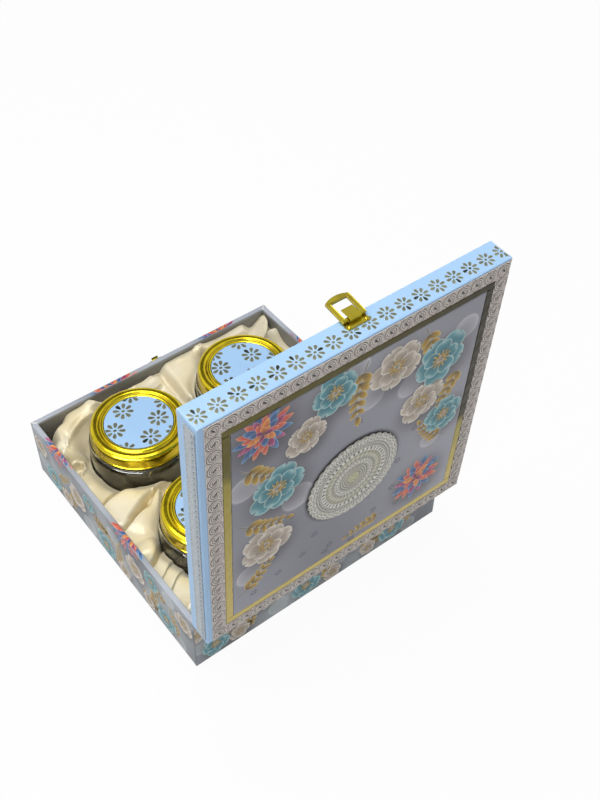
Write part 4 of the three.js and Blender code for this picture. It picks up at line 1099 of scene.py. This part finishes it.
for board in LID_BOARDS:
    dress(board, blue_paper)
panel_low, panel_high = shut_box("lid_top_panel")
LID_TOP = panel_high[2]
LID_RIM = shut_box("lid_front_wall")[0][2]
LID_SPACING = 1.6 * MM
COVER_TURN_IN = 14 * MM
COVER_UNDER_PANEL = 0.5 * MM
LID_EDGE_RUB = 0.7 * MM
LID_CORNER_RUB = 1.1 * MM
lid_rim_turn = LID_RIM - RIM_STANDS + ROUND
lid_top_turn = LID_TOP + PAPER_STANDS - ROUND
lid_profile = fold_profile([
    (-ROUND - WALL_BOARD - PAPER_STANDS, panel_low[2] - COVER_UNDER_PANEL, 1, 0),
    (ROUND - WALL_BOARD - PAPER_STANDS, lid_rim_turn, 180, 270),
    (PAPER_STANDS - ROUND, lid_rim_turn, 270, 360),
    (PAPER_STANDS - ROUND, lid_top_turn, 0, 90),
    (-COVER_TURN_IN, lid_top_turn, 90, 91),
])
lid_points, _, _, lid_sides = wrap_square(lid_profile, LID_SPACING)
lid_heights = lid_points[..., 2]
lid_edges = bell(lid_heights, LID_TOP, LID_EDGE_RUB) + bell(lid_heights, LID_RIM, LID_EDGE_RUB)
lid_corners = bell(np.abs(lid_sides), HALF_BOX, LID_CORNER_RUB) * (lid_heights < LID_TOP)
lid_wear = np.clip(0.3 * lid_edges + 0.42 * lid_corners, 0, 0.62)
lid_cover = put_mesh("lid_cover", opened(lid_points), grid_faces(*lid_heights.shape, ring=True),
                     masks={"wear": lid_wear})
finish_piece(lid_cover, paper_material("lid_paper", BLUE_PAPER, "wear"), "lid", "blue_board")

# Stamped daisies on the lid's front wall: one row of bright foil, with a few petals that look nearly black.
# The sheet was cut without regard to the row, so the first and the last daisy run off the wall's ends.
FRONT_DAISY = 6.4 * MM
FRONT_DAISY_PITCH = 14.2 * MM
FRONT_DAISY_FIRST = 118.6 * MM
FRONT_DAISY_COUNT = 18
FRONT_DAISY_UP = 12 * MM


def on_lid_front(plan, lift):
    """Places a plan along the lid's front wall and up from its rim, held inside the wall's ends."""
    x = np.clip(plan[..., 0], ROUND - HALF_BOX, HALF_BOX - ROUND)
    return opened(np.stack([x, -HALF_BOX - PAPER_STANDS - lift, LID_RIM + plan[..., 1]], axis=-1))


front_row = FRONT_DAISY_FIRST - FRONT_DAISY_PITCH * np.arange(FRONT_DAISY_COUNT)
front_centres = np.stack([front_row, np.full(FRONT_DAISY_COUNT, FRONT_DAISY_UP)], axis=1)
front_stamped = daisy_patches(front_centres, FRONT_DAISY, 0.05, 0.1)
front_daisies = daisy_piece("lid_front_daisies", *front_stamped, on_lid_front)
finish_piece(front_daisies, stamped_foil, "lid", "gold_foil")

# Lace: machine lace in silver-grey thread, in rows of wound rosettes with a dark eye, glued on as strips.
# Four strips frame the lid's panel, and one runs along each side wall.
LACE_GRAIN = 0.36 * MM
ROSETTE_PITCH = 12.2 * MM
EDGE_STITCH_PITCH = 5.8 * MM
LACE_GROUND = 0.25
LACE_COILS = 3


def raised_strip(name, length, width, grain, height, place, pitch, tone=None, middle=0.0):
    """A flat strip with relief: a grid of u along and v across, raised by height(u, v), with closed edges.

    The outermost points repeat the edge at no height, so the strip has sides. UV counts in pitches along
    from the strip's end and across from middle. place takes u, v and the height to the shut lid, and tone
    takes the points there to colours."""
    def steps(size):
        line = np.linspace(-size / 2, size / 2, math.ceil(size / grain) + 1)
        return np.concatenate([line[:1], line, line[-1:]])
    u, v = np.meshgrid(steps(length), steps(width))
    rise = height(u, v)
    rise[[0, -1]] = 0
    rise[:, [0, -1]] = 0
    uv = np.stack([(u + length / 2) / pitch, (v - middle) / pitch], axis=-1)
    shut = place(u, v, rise).reshape(-1, 3)
    faces = with_area(shut, grid_faces(*u.shape))
    return put_mesh(name, opened(shut), faces, uv=uv, colours=tone(shut) if tone else None)


def lace_relief(length, width, thick, pitch, middle):
    """Rosettes as coils of cord: each rises to its middle and carries a spiral ridge, on a thinner ground."""
    def height(u, v):
        x, y = ((u + length / 2) / pitch) % 1 - 0.5, (v - middle) / pitch
        far = np.hypot(x, y) / 0.476
        coil = 0.5 + 0.5 * np.cos(2 * math.pi * (LACE_COILS * far - np.arctan2(y, x) / (2 * math.pi)))
        body = rising(1.03 - far, 0, 0.1) * (0.35 + 0.3 * (1 - far) + 0.35 * coil)
        cord = bell(np.abs(v / width), 0.47, 0.03)
        return thick * np.clip(LACE_GROUND + 0.75 * np.maximum(body, 0.8 * cord), 0, 1)
    return height


def lace_material(name, thread_dark, thread_pale, line_colour, line_share):
    """Lace thread in two tones: coiled lines round each rosette, a black comma eye and an open mesh."""
    material, tree, shader = new_material(name, Metallic=0.1, Sheen_Weight=0.1)
    place = object_place(tree)
    part = add_node(tree, "ShaderNodeSeparateXYZ", {"Vector": own_uv(tree)}).outputs
    x = maths(tree, "SUBTRACT", maths(tree, "FRACT", maths(tree, "ADD", part["X"], 100.0)), 0.5)
    y = part["Y"]
    y_square = maths(tree, "MULTIPLY", y, y)
    far = maths(tree, "MULTIPLY", maths(tree, "SQRT", maths(tree, "MULTIPLY_ADD", x, x, y_square)), 2.1)
    turn = maths(tree, "DIVIDE", maths(tree, "ARCTAN2", y, x), 2 * math.pi)
    sway = maths(tree, "MULTIPLY", noise(tree, place, 500.0), 0.5)
    wind = maths(tree, "ADD", maths(tree, "MULTIPLY_ADD", far, 3.6, sway), turn)
    wave = maths(tree, "SINE", maths(tree, "MULTIPLY", wind, 2 * math.pi))
    inside = ramp(tree, far, 1.04, 0.96)
    outline = ramp(tree, maths(tree, "ABSOLUTE", maths(tree, "SUBTRACT", far, 0.97)), 0.05, 0.02)
    line = maths(tree, "MULTIPLY", maths(tree, "MAXIMUM", ramp(tree, wave, 0.2, 0.75), outline), inside)
    weave = add_node(tree, "ShaderNodeTexVoronoi", {"Vector": place, "Scale": 1100.0}).outputs["Distance"]
    open_share = maths(tree, "MAXIMUM", maths(tree, "SUBTRACT", 0.45, inside), 0.0)
    gaps = maths(tree, "MULTIPLY", ramp(tree, weave, 0.45, 0.7), open_share)
    thread = noise(tree, place, 1800.0)
    silver = blend_colours(tree, thread, thread_dark, thread_pale)
    wound = blend_colours(tree, maths(tree, "MULTIPLY", inside, 0.3), silver, thread_dark)
    lined = blend_colours(tree, maths(tree, "MULTIPLY", line, line_share), wound, line_colour)
    holed = blend_colours(tree, gaps, lined, line_colour)
    lean = maths(tree, "MULTIPLY_ADD", y, 0.7, x)
    narrow = maths(tree, "MULTIPLY", y_square, 0.3)
    eye = maths(tree, "SQRT", maths(tree, "MULTIPLY_ADD", lean, lean, narrow))
    seen = blend_colours(tree, ramp(tree, eye, 0.095, 0.06), holed, srgb(18, 16, 14))
    put(tree, shader, {"Base Color": seen, "Roughness": maths(tree, "MULTIPLY_ADD", thread, 0.2, 0.4)})
    add_bump(tree, shader, maths(tree, "MULTIPLY_ADD", wave, 0.3, thread), 0.12 * MM, 0.6)
    return material


silver_lace = lace_material("silver_lace", srgb(192, 182, 176), srgb(232, 224, 218), srgb(72, 64, 54), 0.9)
pale_lace = lace_material("pale_lace", srgb(160, 174, 190), srgb(206, 212, 208), srgb(104, 110, 116), 0.6)


def panel_place(low, high, lengthways):
    """Places a strip on the panel, in the middle of a box, along X or along Y."""
    middle = (low + high) / 2

    def place(u, v, rise):
        x, y = (u, v) if lengthways else (-v, u)
        return np.stack([middle[0] + x, middle[1] + y, low[2] + rise], axis=-1)
    return place


def side_place(low, high, sign):
    """Places a strip on a side wall of the lid, along Y, with its face outwards."""
    middle = (low + high) / 2
    under = low[0] if sign > 0 else -high[0]

    def place(u, v, rise):
        return np.stack([sign * (under + rise), middle[1] + sign * u, middle[2] + v], axis=-1)
    return place


def add_lace(node, lengthways, outwards, sign=0):
    """One strip of lace in the place of its node, with its rosettes along one edge.

    A sign puts the strip on a side wall, and there the edge carries small stitches instead."""
    low, high = shut_box(node)
    size = high - low
    length = size[0] if lengthways else size[1]
    width = size[2] if sign else (size[1] if lengthways else size[0])
    thick = size[0] if sign else size[2]
    pitch = length / round(length / (EDGE_STITCH_PITCH if sign else ROSETTE_PITCH))
    middle = outwards * (width / 2 - (0.34 if sign else 0.5) * pitch)
    place = side_place(low, high, sign) if sign else panel_place(low, high, lengthways)
    relief = lace_relief(length, width, thick, pitch, middle)
    strip = raised_strip(f"{node}_threads", length, width, LACE_GRAIN, relief, place, pitch, middle=middle)
    finish_piece(strip, pale_lace if sign else silver_lace, "lid", "lace", node)


for edge, outwards in (("front", -1), ("back", 1), ("left", 1), ("right", -1)):
    add_lace(f"lace_strip_{edge}", edge in ("front", "back"), outwards)
add_lace("side_lace_left", False, 1, sign=-1)
add_lace("side_lace_right", False, 1, sign=1)

# Foil border: four strips of mirror gold foil inside the lace, glued down and slightly wavy.
# The foil's colour is a painted reflection that runs from dark olive along the top and sides to pale gold at
# the bottom.
# Painted reflection colours of the foil, from its darkest to its brightest.
FOIL_REFLECTION_DEEP = ink(36, 31, 16)
FOIL_REFLECTION_OLIVE = ink(92, 85, 40)
FOIL_REFLECTION_MIDDLE = ink(138, 127, 60)
FOIL_REFLECTION_BRIGHT = ink(176, 158, 88)
FOIL_GRAIN = 0.8 * MM
SHEET_PITCH = 10 * MM


def gilt_material():
    """Mirror foil with a painted reflection along its length, faint creases and rubbed clouds."""
    material, tree, shader = new_material("gilt_foil", Metallic=1.0)
    tint = own_value(tree, "tint", "Color")
    place = object_place(tree)
    cloud = maths(tree, "MULTIPLY_ADD", noise(tree, place, 130.0, 3.0), 0.6, 0.7)
    darker = blend_colours(tree, 1.0, tint, cloud, "MULTIPLY")
    lay_surface(tree, shader, place_group(tree, GOLD, {"Color": tint, "Shade": darker, "Gloss": 0.2}))
    add_bump(tree, shader, noise(tree, place, 60.0, 1.0), 0.5 * MM, 0.4)
    return material


gilt_foil = gilt_material()


def painted_foil_reflection(shut):
    """The foil's painted reflection: olive along the top, deeper to one side, then middle and bright towards
    the hinges.

    The change to the middle tone comes high up on the box's right and low down on its left."""
    up = (HALF_BOX - shut[:, 1]) / (2 * HALF_BOX)
    side = np.clip(0.5 + 0.5 * shut[:, 0] / HALF_BOX, 0, 1)
    edge = 0.4 + 0.42 * side ** 1.5
    low = rising(edge - 0.06 - up, 0, np.maximum(edge - 0.12, 0.2))
    dark = mix(FOIL_REFLECTION_DEEP, FOIL_REFLECTION_OLIVE, side)
    return mix(dark, mix(FOIL_REFLECTION_MIDDLE, FOIL_REFLECTION_BRIGHT, low), rising(edge - up, 0, 0.05))


def add_foil(node, lengthways):
    """One strip of foil in the place of its node, with a slight wave and a painted reflection."""
    low, high = shut_box(node)
    size = high - low
    length, width = (size[0], size[1]) if lengthways else (size[1], size[0])

    def wave(u, v):
        return size[2] * (0.82 + 0.18 * np.sin(u / (6.3 * MM)) * np.cos(u / (2.9 * MM) + v / (4 * MM)))
    place = panel_place(low, high, lengthways)
    strip = raised_strip(f"{node}_sheet", length, width, FOIL_GRAIN, wave, place, SHEET_PITCH, painted_foil_reflection)
    finish_piece(strip, gilt_foil, "lid", "gold_foil", node)


for edge in ("front", "back", "left", "right"):
    add_foil(f"foil_strip_{edge}", edge in ("front", "back"))

# Printed sheet: coated paper in the middle of the panel, printed grey with blossoms, sprigs and seed discs.
# It is glued flat; the print runs under the foil, so motifs are cut off at the sheet's edges.
print_low, print_high = shut_box("printed_sheet")
doily_low, doily_high = shut_box("doily_medallion")
DOILY_CENTRE = (doily_low + doily_high)[:2] / 2
DOILY_RADIUS = (doily_high[0] - doily_low[0]) / 2
SHEET_MARGIN = 0.3 * MM
SHEET_GRAIN = 1.1 * MM
DOILY_SHADOW_WIDTH = 1.9 * MM
SHEET_BLOSSOMS = [(-66, 148, 23, TEAL), (72, 186, 24, TEAL), (-22, 214, 20, TEAL), (86, 118, 19, TEAL),
                  (-74, 88, 22, IVORY), (30, 205, 22, IVORY), (60, 150, 20, IVORY), (-44, 186, 17, IVORY)]
SHEET_ROSETTES = [(70, 52, 24), (-78, 214, 23)]
SHEET_SPRAYS = [(-96, 190, 46, -0.9, 0.2), (4, 228, 52, -1.9, 0.25), (52, 228, 46, -1.1, -0.25),
                (98, 168, 44, -2.2, 0.2), (-96, 128, 42, -0.8, 0.3), (92, 90, 40, 2.6, -0.3),
                (-98, 40, 40, 0.5, 0.3), (40, 30, 34, 2.9, 0.25)]
SHEET_DISCS = [(-48, 124, 13), (10, 188, 12), (46, 176, 11), (-92, 168, 12), (92, 205, 11), (-88, 62, 11),
               (78, 96, 10), (-4, 226, 9)]
SHEET_TURNS = (0.9, 0.6)
SEED_CLUSTERS = [(-62, 40), (-30, 62), (-14, 34), (28, 44), (-52, 104), (46, 92), (2, 168), (58, 122),
                 (-18, 28), (-84, 34), (-40, 44), (8, 22), (44, 60), (20, 70), (-66, 66), (52, 34)]
SEED_INK = (ink(40, 40, 58), ink(46, 46, 64), ink(58, 58, 74))
SEEDS, SEED_LONG, SEED_HALF = 7, 3.4 * MM, 0.42 * MM


def on_sheet(plan, lift):
    """Places the print's plan, across to the right and up from the hinges as the lid stands, on the sheet."""
    x = np.clip(-plan[..., 0], print_low[0] + SHEET_MARGIN, print_high[0] - SHEET_MARGIN)
    y = np.clip(HALF_BOX - plan[..., 1], print_low[1] + SHEET_MARGIN, print_high[1] - SHEET_MARGIN)
    return opened(np.stack([x, y, print_high[2] + lift], axis=-1))


def level_sheet(u, v):
    """The sheet's thickness."""
    return np.full_like(u, print_high[2] - print_low[2])


def sheet_tone(shut):
    """The sheet's grey ground: its sweep, the motifs' shadows, the discs, and a painted shadow round the
    doily.
    """
    p, q = -shut[:, 0] / MM, (HALF_BOX - shut[:, 1]) / MM
    sweep = 0.42 + 0.14 * np.sin(p / 52 - 0.6) + 0.16 * np.clip((q - 120) / 100, -1, 1) * np.cos(p / 34)
    shadows = shadow_places(SHEET_BLOSSOMS + SHEET_ROSETTES, fall=2)
    colour = painted_ground(p, q, sweep, shadows, SHEET_DISCS)
    # Painted shadow that the doily casts on the sheet, darkest at its edge.
    beyond = np.hypot(shut[:, 0] - DOILY_CENTRE[0], shut[:, 1] - DOILY_CENTRE[1]) - DOILY_RADIUS
    return colour * (1 - 0.78 * bell(np.maximum(beyond, 0), 0, DOILY_SHADOW_WIDTH))[:, None]


sheet = raised_strip("printed_sheet_paper", *(print_high - print_low)[:2], SHEET_GRAIN, level_sheet,
                     panel_place(print_low, print_high, True), SHEET_PITCH, sheet_tone)
finish_piece(sheet, paper_material("printed_ground", "tint"), "lid", "printed_paper", "printed_sheet")

sheet_parts = printed_parts(SHEET_BLOSSOMS, SHEET_ROSETTES, SHEET_SPRAYS, SHEET_TURNS)
for i, (x, y) in enumerate(SEED_CLUSTERS):
    sheet_parts.append(petal_ring((x * MM, y * MM), SEEDS, SEED_LONG, SEED_HALF, [SEED_INK], 0.8 * i, 1,
                                  belly=2.5, point=0.9))
sheet_motifs = ink_piece("printed_sheet_motifs", sheet_parts, on_sheet)
finish_piece(sheet_motifs, printed_ink, "lid", "printed_paper")

# Doily: a round of ivory crochet, glued on the sheet. From its middle it has a beaded eye, wound rings,
# two rows of beads, a plain band, a ring of open bars, a net, and a border of loops with a scalloped edge.
SCALLOPS = 36
SCALLOP_DEPTH = 0.036
SCALLOPS_FROM = 0.85
DOILY_BASE = 0.35
DOILY_BLEND = 0.006
DOILY_RINGS = 132
DOILY_THREAD = ink(250, 248, 240)
DOILY_RECESS_SHADE = ink(160, 157, 144)
DOILY_OPENING_SHADE = ink(66, 66, 66)
DOILY_YELLOW = ink(206, 204, 150)


def doily_relief(far, angle):
    """Height and openness of the crochet at a share of the radius and an angle, zone by zone."""
    def band(low, high):
        return rising(far, low, DOILY_BLEND) * rising(high - far, 0, DOILY_BLEND)

    def around(count, shift=0.0):
        return 0.5 + 0.5 * np.cos(count * (angle + shift))

    def loops(middle, reach, shift):
        turn = (SCALLOPS * angle / (2 * math.pi) + shift) % 1 - 0.5
        away = np.hypot(turn * 2 * math.pi / SCALLOPS * far, far - middle) / reach
        return bell(away, 0.78, 0.24), rising(0.5 - away, 0, 0.2)
    height = np.full_like(far, DOILY_BASE)
    height += band(0, 0.05) * 0.6 + band(0.06, 0.12) * 0.6 * around(8)
    height += band(0.12, 0.32) * 0.4 * np.cos(2 * math.pi * (far - 0.12) / 0.05) * (0.7 + 0.3 * around(40))
    height += band(0.335, 0.375) * 0.8 * around(34) + band(0.385, 0.425) * 0.8 * around(34, math.pi / 34)
    leaf = np.cos(17 * angle + 24 * far) * np.cos(17 * angle - 24 * far)
    height += band(0.44, 0.61) * (0.1 + 0.3 * leaf)
    slots = band(0.635, 0.7) * (around(42) > 0.6)
    height += band(0.62, 0.715) * 0.65 * (1 - 0.4 * around(42))
    net = np.cos(48 * angle + 60 * far) * np.cos(48 * angle - 60 * far)
    height += band(0.73, 0.86) * (0.1 + 0.45 * net)
    inner_ridge, inner_hole = loops(0.885, 0.05, 0.5)
    outer_ridge, outer_hole = loops(0.955, 0.052, 0.0)
    height += band(0.84, 1.1) * 0.75 * np.maximum(inner_ridge, outer_ridge)
    gaps = band(0.74, 0.85) * np.clip(-net * 3 - 1.2, 0, 1) + 0.8 * np.maximum(inner_hole, outer_hole)
    return np.clip(height, 0.1, 1.2) / 1.2 * (1 - slots), np.clip(slots + 0.7 * gaps, 0, 1)


def doily_piece(name):
    """Rings of points round the doily's middle, raised by its relief, with a scalloped edge and one hub."""
    share = np.concatenate([np.linspace(0.008, 0.995, DOILY_RINGS), [0.998, 1.0, 1.0]])[:, None]
    angle = np.linspace(0, 2 * math.pi, 12 * SCALLOPS, endpoint=False)[None, :]
    edge = 1 - SCALLOP_DEPTH * (1 - np.abs(np.cos(SCALLOPS / 2 * angle)))
    far = share + 0 * angle
    rise, gap = doily_relief(far * (0.97 + 0.03 * edge), angle + 0 * far)
    rise[-1] = -DOILY_BASE
    drawn_in = 1 + (edge - 1) * (far - SCALLOPS_FROM) / 0.15
    radius = DOILY_RADIUS * far * np.where(far > SCALLOPS_FROM, drawn_in, 1)
    thick = doily_high[2] - doily_low[2]
    height = doily_low[2] + thick * (DOILY_BASE + (1 - DOILY_BASE) * rise)
    x, y = DOILY_CENTRE[0] + radius * np.cos(angle), DOILY_CENTRE[1] + radius * np.sin(angle)
    rings = opened(np.stack([x, y, height], axis=-1)).reshape(-1, 3)
    warm = bell(far, 0.04, 0.09) + 0.35 * bell(far, 0.56, 0.06)
    # Painted shade: the thread is darker where the relief is low, and dark in its openings.
    tone = mix(DOILY_RECESS_SHADE, DOILY_THREAD, np.clip(1.8 * rise - 0.3, 0, 1))
    tone = mix(tone, DOILY_YELLOW, 0.75 * np.clip(warm, 0, 1))
    tone = mix(tone, DOILY_OPENING_SHADE, gap)
    columns = far.shape[1]
    quads = grid_faces(*far.shape, ring=True)[:, ::-1]
    column = np.arange(columns)
    hub = np.stack([np.full(columns, len(rings)), column, np.roll(column, -1)], axis=1)
    faces = np.concatenate([quads[:, [0, 1, 2]], quads[:, [0, 2, 3]], hub])
    return put_mesh(name, np.concatenate([rings, rings[:columns].mean(axis=0)[None]]), faces,
                    colours=np.concatenate([tone.reshape(-1, 3), tone[:1, 0]]))


def doily_material():
    """Ivory crochet cotton, toned with painted shade in low parts and openings; fine stitches, a soft dry
    surface.
    """
    material, tree, shader = new_material("ivory_crochet", Sheen_Weight=0.15)
    sockets = {"Vector": object_place(tree), "Scale": 1300.0}
    stitch = add_node(tree, "ShaderNodeTexVoronoi", sockets).outputs["Distance"]
    shade = maths(tree, "MULTIPLY_ADD", stitch, -0.5, 1.15)
    colour = blend_colours(tree, 1.0, own_value(tree, "tint", "Color"), shade, "MULTIPLY")
    put(tree, shader, {"Base Color": colour, "Roughness": maths(tree, "MULTIPLY_ADD", stitch, 0.2, 0.6)})
    add_bump(tree, shader, stitch, 0.25 * MM, 0.7)
    return material


finish_piece(doily_piece("doily_crochet"), doily_material(), "lid", "doily", "doily_medallion")

# Hinges, bracket, catch and nails: pressed brass in bright gold plate, nailed through the paper to the board.
# They are the construction's own solids, with their edges rounded as a press leaves them.
gold_plate = gold_material("gold_plate", srgb(168, 152, 18), srgb(142, 126, 8), 0.08, coat=0.5)
PRESSED_EDGE = 0.16 * MM
JOINED_WITHIN = 0.001 * MM
SHARP_EDGE = math.radians(35)
PLATED_WORDS = ("hinge", "nail", "bracket", "catch")
PLATED = [name for name in frame["nodes"] if any(word in name for word in PLATED_WORDS)]


def press_edges(node):
    """Joins a solid's triangles and rounds its sharp edges."""
    target = frame["nodes"][node]
    weld = target.modifiers.new("joined", "WELD")
    weld.merge_threshold = JOINED_WITHIN
    bevel = target.modifiers.new("pressed", "BEVEL")
    bevel.width = PRESSED_EDGE
    bevel.segments = 2
    bevel.limit_method = "ANGLE"
    bevel.angle_limit = SHARP_EDGE


for node in PLATED:
    dress(node, gold_plate)
    press_edges(node)

# Hasp loop: one strip of brass, pressed to a channel with a raised lip along each edge and bent into a frame.
# Its hinge bar is held in the bracket's folded tongue, and its bowed end drops over the catch's nose.
HASP_AXIS = np.array(joint_of("hasp_swing")["pos_m"])
LOOP_RAISED = math.radians(5)
LOOP_HALF = 9.5 * MM
LOOP_BAR = 3.2 * MM
LOOP_HINGE_BAR = 2.2 * MM
LOOP_THICK = 1.8 * MM
LOOP_CORNER_REACH = 17.4 * MM
LOOP_BOW_REACH = 19.6 * MM
LOOP_WINDOW_END = 15 * MM
LIP_HIGH = 0.24 * MM


def loop_outlines():
    """The loop's outer and inner edges, point for point: hinge side, right bar, bowed end and left bar."""
    half, bar, hinge = LOOP_HALF / MM, LOOP_BAR / MM, LOOP_HINGE_BAR / MM / 2
    corner, bow, end = LOOP_CORNER_REACH / MM, LOOP_BOW_REACH / MM, LOOP_WINDOW_END / MM
    sway = np.linspace(-1, 1, 25)[1:-1]
    bowed = [(half * t * 0.92, bow - (bow - corner) * abs(t) ** 2.2, 0.3) for t in -sway]
    level = [((half - bar) * t * 0.96, end, 0.1) for t in -sway]
    outer = [(0, -hinge, 0), (half, -hinge, 0.6), (half, corner, 1.2), *bowed, (-half, corner, 1.2),
             (-half, -hinge, 0.6), (0, -hinge, 0)]
    inner = [(0, hinge, 0), (half - bar, hinge, 0.4), (half - bar, end, 0.8), *level, (bar - half, end, 0.8),
             (bar - half, hinge, 0.4), (0, hinge, 0)]
    return MM * rounded_path(outer)[:-1], MM * rounded_path(inner)[:-1]


def loop_section():
    """The strip's section as share across, from outer to inner edge, and height: lips and trough."""
    top, low = LOOP_THICK / 2, -LOOP_THICK / 2
    trough = top - LIP_HIGH
    return np.array([
        (0.05, low), (0.0, low + 0.25 * MM), (0.0, top - 0.25 * MM), (0.02, top - 0.05 * MM), (0.06, top),
        (0.1, top - 0.05 * MM), (0.13, trough + 0.06 * MM), (0.18, trough), (0.82, trough),
        (0.87, trough + 0.06 * MM), (0.9, top - 0.05 * MM), (0.94, top), (0.98, top - 0.05 * MM),
        (1.0, top - 0.25 * MM), (1.0, low + 0.25 * MM), (0.95, low)])


def loop_points():
    """The section carried round the loop, turned up by its raised angle on the hinge bar of the open lid."""
    outer, inner = loop_outlines()
    section = loop_section()
    across = section[:, 0][:, None, None]
    plan = outer[None] * (1 - across) + inner[None] * across
    out = section[:, 1][:, None] + 0 * plan[..., 0]
    tilt = LID_SWING + LOOP_RAISED
    c, s = math.cos(tilt), math.sin(tilt)
    dy, dz = -out, -plan[..., 1]
    return HASP_AXIS + np.stack([plan[..., 0], dy * c + dz * s, -dy * s + dz * c], axis=-1)


loop_rings = loop_points()
rows, columns = loop_rings.shape[:2]
loop_faces = grid_faces(rows + 1, columns, ring=True)[:, ::-1] % (rows * columns)
loop = put_mesh("hasp_loop_frame", loop_rings, loop_faces)
finish_piece(loop, gold_plate, "hasp", "gold_metal", "hasp_loop")

# Camera: a standing viewer's look down over the box's back right corner, as a product photo is taken.
# Its place and lens give the object the size and lean that the picture shows.
CAMERA_AZIMUTH = math.radians(141.749)
CAMERA_ELEVATION = math.radians(47.534)
CAMERA_ROLL = math.radians(0.871)
CAMERA_DISTANCE = 1.0572
CAMERA_TARGET = (-0.1124, -0.05022, 0.00122)
FOCAL_PIXELS = 1101.38
FRAME_HEIGHT_PIXELS = 800
SENSOR = 36.0
scene = bpy.context.scene


def unit(vector):
    """The vector at a length of one."""
    return np.asarray(vector, float) / np.linalg.norm(vector)


def place_object(name, data, across, up, back, place):
    """Links a camera or a lamp that stands at a place and looks the way opposite to back."""
    holder = bpy.data.objects.new(name, data)
    scene.collection.objects.link(holder)
    pose = np.eye(4)
    pose[:3, :] = np.stack([across, up, back, place], axis=1)
    holder.matrix_world = Matrix(pose.tolist())
    return holder


back = np.array([
    math.sin(CAMERA_AZIMUTH) * math.cos(CAMERA_ELEVATION),
    -math.cos(CAMERA_AZIMUTH) * math.cos(CAMERA_ELEVATION),
    math.sin(CAMERA_ELEVATION)])
level = unit(np.cross(-back, (0, 0, 1)))
upright = np.cross(level, -back)
right = math.cos(CAMERA_ROLL) * level + math.sin(CAMERA_ROLL) * upright
above = math.cos(CAMERA_ROLL) * upright - math.sin(CAMERA_ROLL) * level
eye = np.array(CAMERA_TARGET) + CAMERA_DISTANCE * back
lens = bpy.data.cameras.new("camera")
lens.sensor_width = SENSOR
lens.lens = SENSOR * FOCAL_PIXELS / FRAME_HEIGHT_PIXELS
scene.camera = place_object("camera", lens, right, above, back, eye)

# Studio: a white sweep under one broad soft light overhead and a weaker one beside the camera.
# The white is what the camera and the reflections see; the object is lit at a plain level.
scene.view_settings.view_transform = "Standard"
BOX_MIDDLE = (0, 0.05, 0.1)
LAMP_UP = (0.05, 1, 0)
WHITE = (1, 1, 1, 1)


def soft_light(name, place, size, watts):
    """A square area light at a place, turned to the box's middle."""
    lamp = bpy.data.lights.new(name, "AREA")
    lamp.size = size
    lamp.energy = watts
    away = unit(np.array(place) - np.array(BOX_MIDDLE))
    across = unit(np.cross(LAMP_UP, away))
    place_object(name, lamp, across, np.cross(away, across), away, place)


soft_light("overhead", (0.25, -0.25, 1.5), 1.0, 14.0)
soft_light("beside_camera", (0.95, 0.75, 1.2), 0.22, 2.4)


def seen_white(tree):
    """1 for what the camera sees directly, in a reflection or through glass, and 0 for light on things.

    Light that reaches a matte surface through glass has already left one, so its diffuse depth is over 0."""
    path = add_node(tree, "ShaderNodeLightPath").outputs
    total = maths(tree, "ADD", path["Is Camera Ray"], path["Is Glossy Ray"])
    both = maths(tree, "ADD", total, path["Is Transmission Ray"])
    direct = maths(tree, "LESS_THAN", path["Diffuse Depth"], 0.5)
    return maths(tree, "MULTIPLY", maths(tree, "MINIMUM", both, 1.0), direct)


FILL_STRENGTH = 0.4
world = bpy.data.worlds.new("studio")
world.use_nodes = True
scene.world = world
sky = world.node_tree
strength = maths(sky, "MULTIPLY_ADD", seen_white(sky), 1.0 - FILL_STRENGTH, FILL_STRENGTH)
put(sky, sky.nodes["Background"], {"Color": WHITE, "Strength": strength})


def glow_material(name, strength):
    """A material that is only a white glow; returns it with its tree and the glow."""
    material = bpy.data.materials.new(name)
    material.use_nodes = True
    tree = material.node_tree
    tree.nodes.remove(tree.nodes["Principled BSDF"])
    glow = add_node(tree, "ShaderNodeEmission", {"Color": WHITE, "Strength": strength}).outputs[0]
    put(tree, tree.nodes["Material Output"], {"Surface": glow})
    return material, tree, glow


FLOOR_REACH = 6.0
GLOW_SHARE = 0.95
SQUARE = [(-1, -1), (1, -1), (1, 1), (-1, 1)]
ONE_FACE = [[0, 1, 2, 3]]
floor = put_mesh("floor", [(FLOOR_REACH * a, FLOOR_REACH * b, 0) for a, b in SQUARE], ONE_FACE, smooth=False)
white_floor, ground, glow = glow_material("white_floor", 1.0)
floor.data.materials.append(white_floor)
matte = add_node(ground, "ShaderNodeBsdfDiffuse", {"Color": srgb(238, 238, 238)}).outputs[0]
share = maths(ground, "MULTIPLY", seen_white(ground), GLOW_SHARE)
mixed = add_node(ground, "ShaderNodeMixShader", {0: share, 1: matte, 2: glow}).outputs[0]
put(ground, ground.nodes["Material Output"], {"Surface": mixed})

# Cards: a dark flag high up on the side away from the camera and a small bright card low beside the box, as
# a studio sets them to draw bright metal and glass. They are seen only in reflections and light nothing.
FLAG_WAY = (-0.23, -0.66, 0.715)
GLINT_WAY = (0.85, 0.43, 0.29)
CARD_DISTANCE = 1.5


def studio_card(name, way, half_wide, half_high, strength):
    """A glowing card that faces the box from the given way, hidden from all but reflections."""
    way = unit(way)
    across = unit(np.cross(way, (0, 0, 1)))
    up = np.cross(across, way)
    points = [np.array(BOX_MIDDLE) + CARD_DISTANCE * way + a * half_wide * across + b * half_high * up
              for a, b in SQUARE]
    card = put_mesh(name, points, ONE_FACE, smooth=False)
    card.data.materials.append(glow_material(name, strength)[0])
    card.visible_camera = False
    card.visible_diffuse = False
    card.visible_transmission = False
    card.visible_shadow = False


studio_card("dark_flag", FLAG_WAY, 0.42, 0.42, 0.2)
studio_card("glint_card", GLINT_WAY, 0.75, 0.42, 16.0)
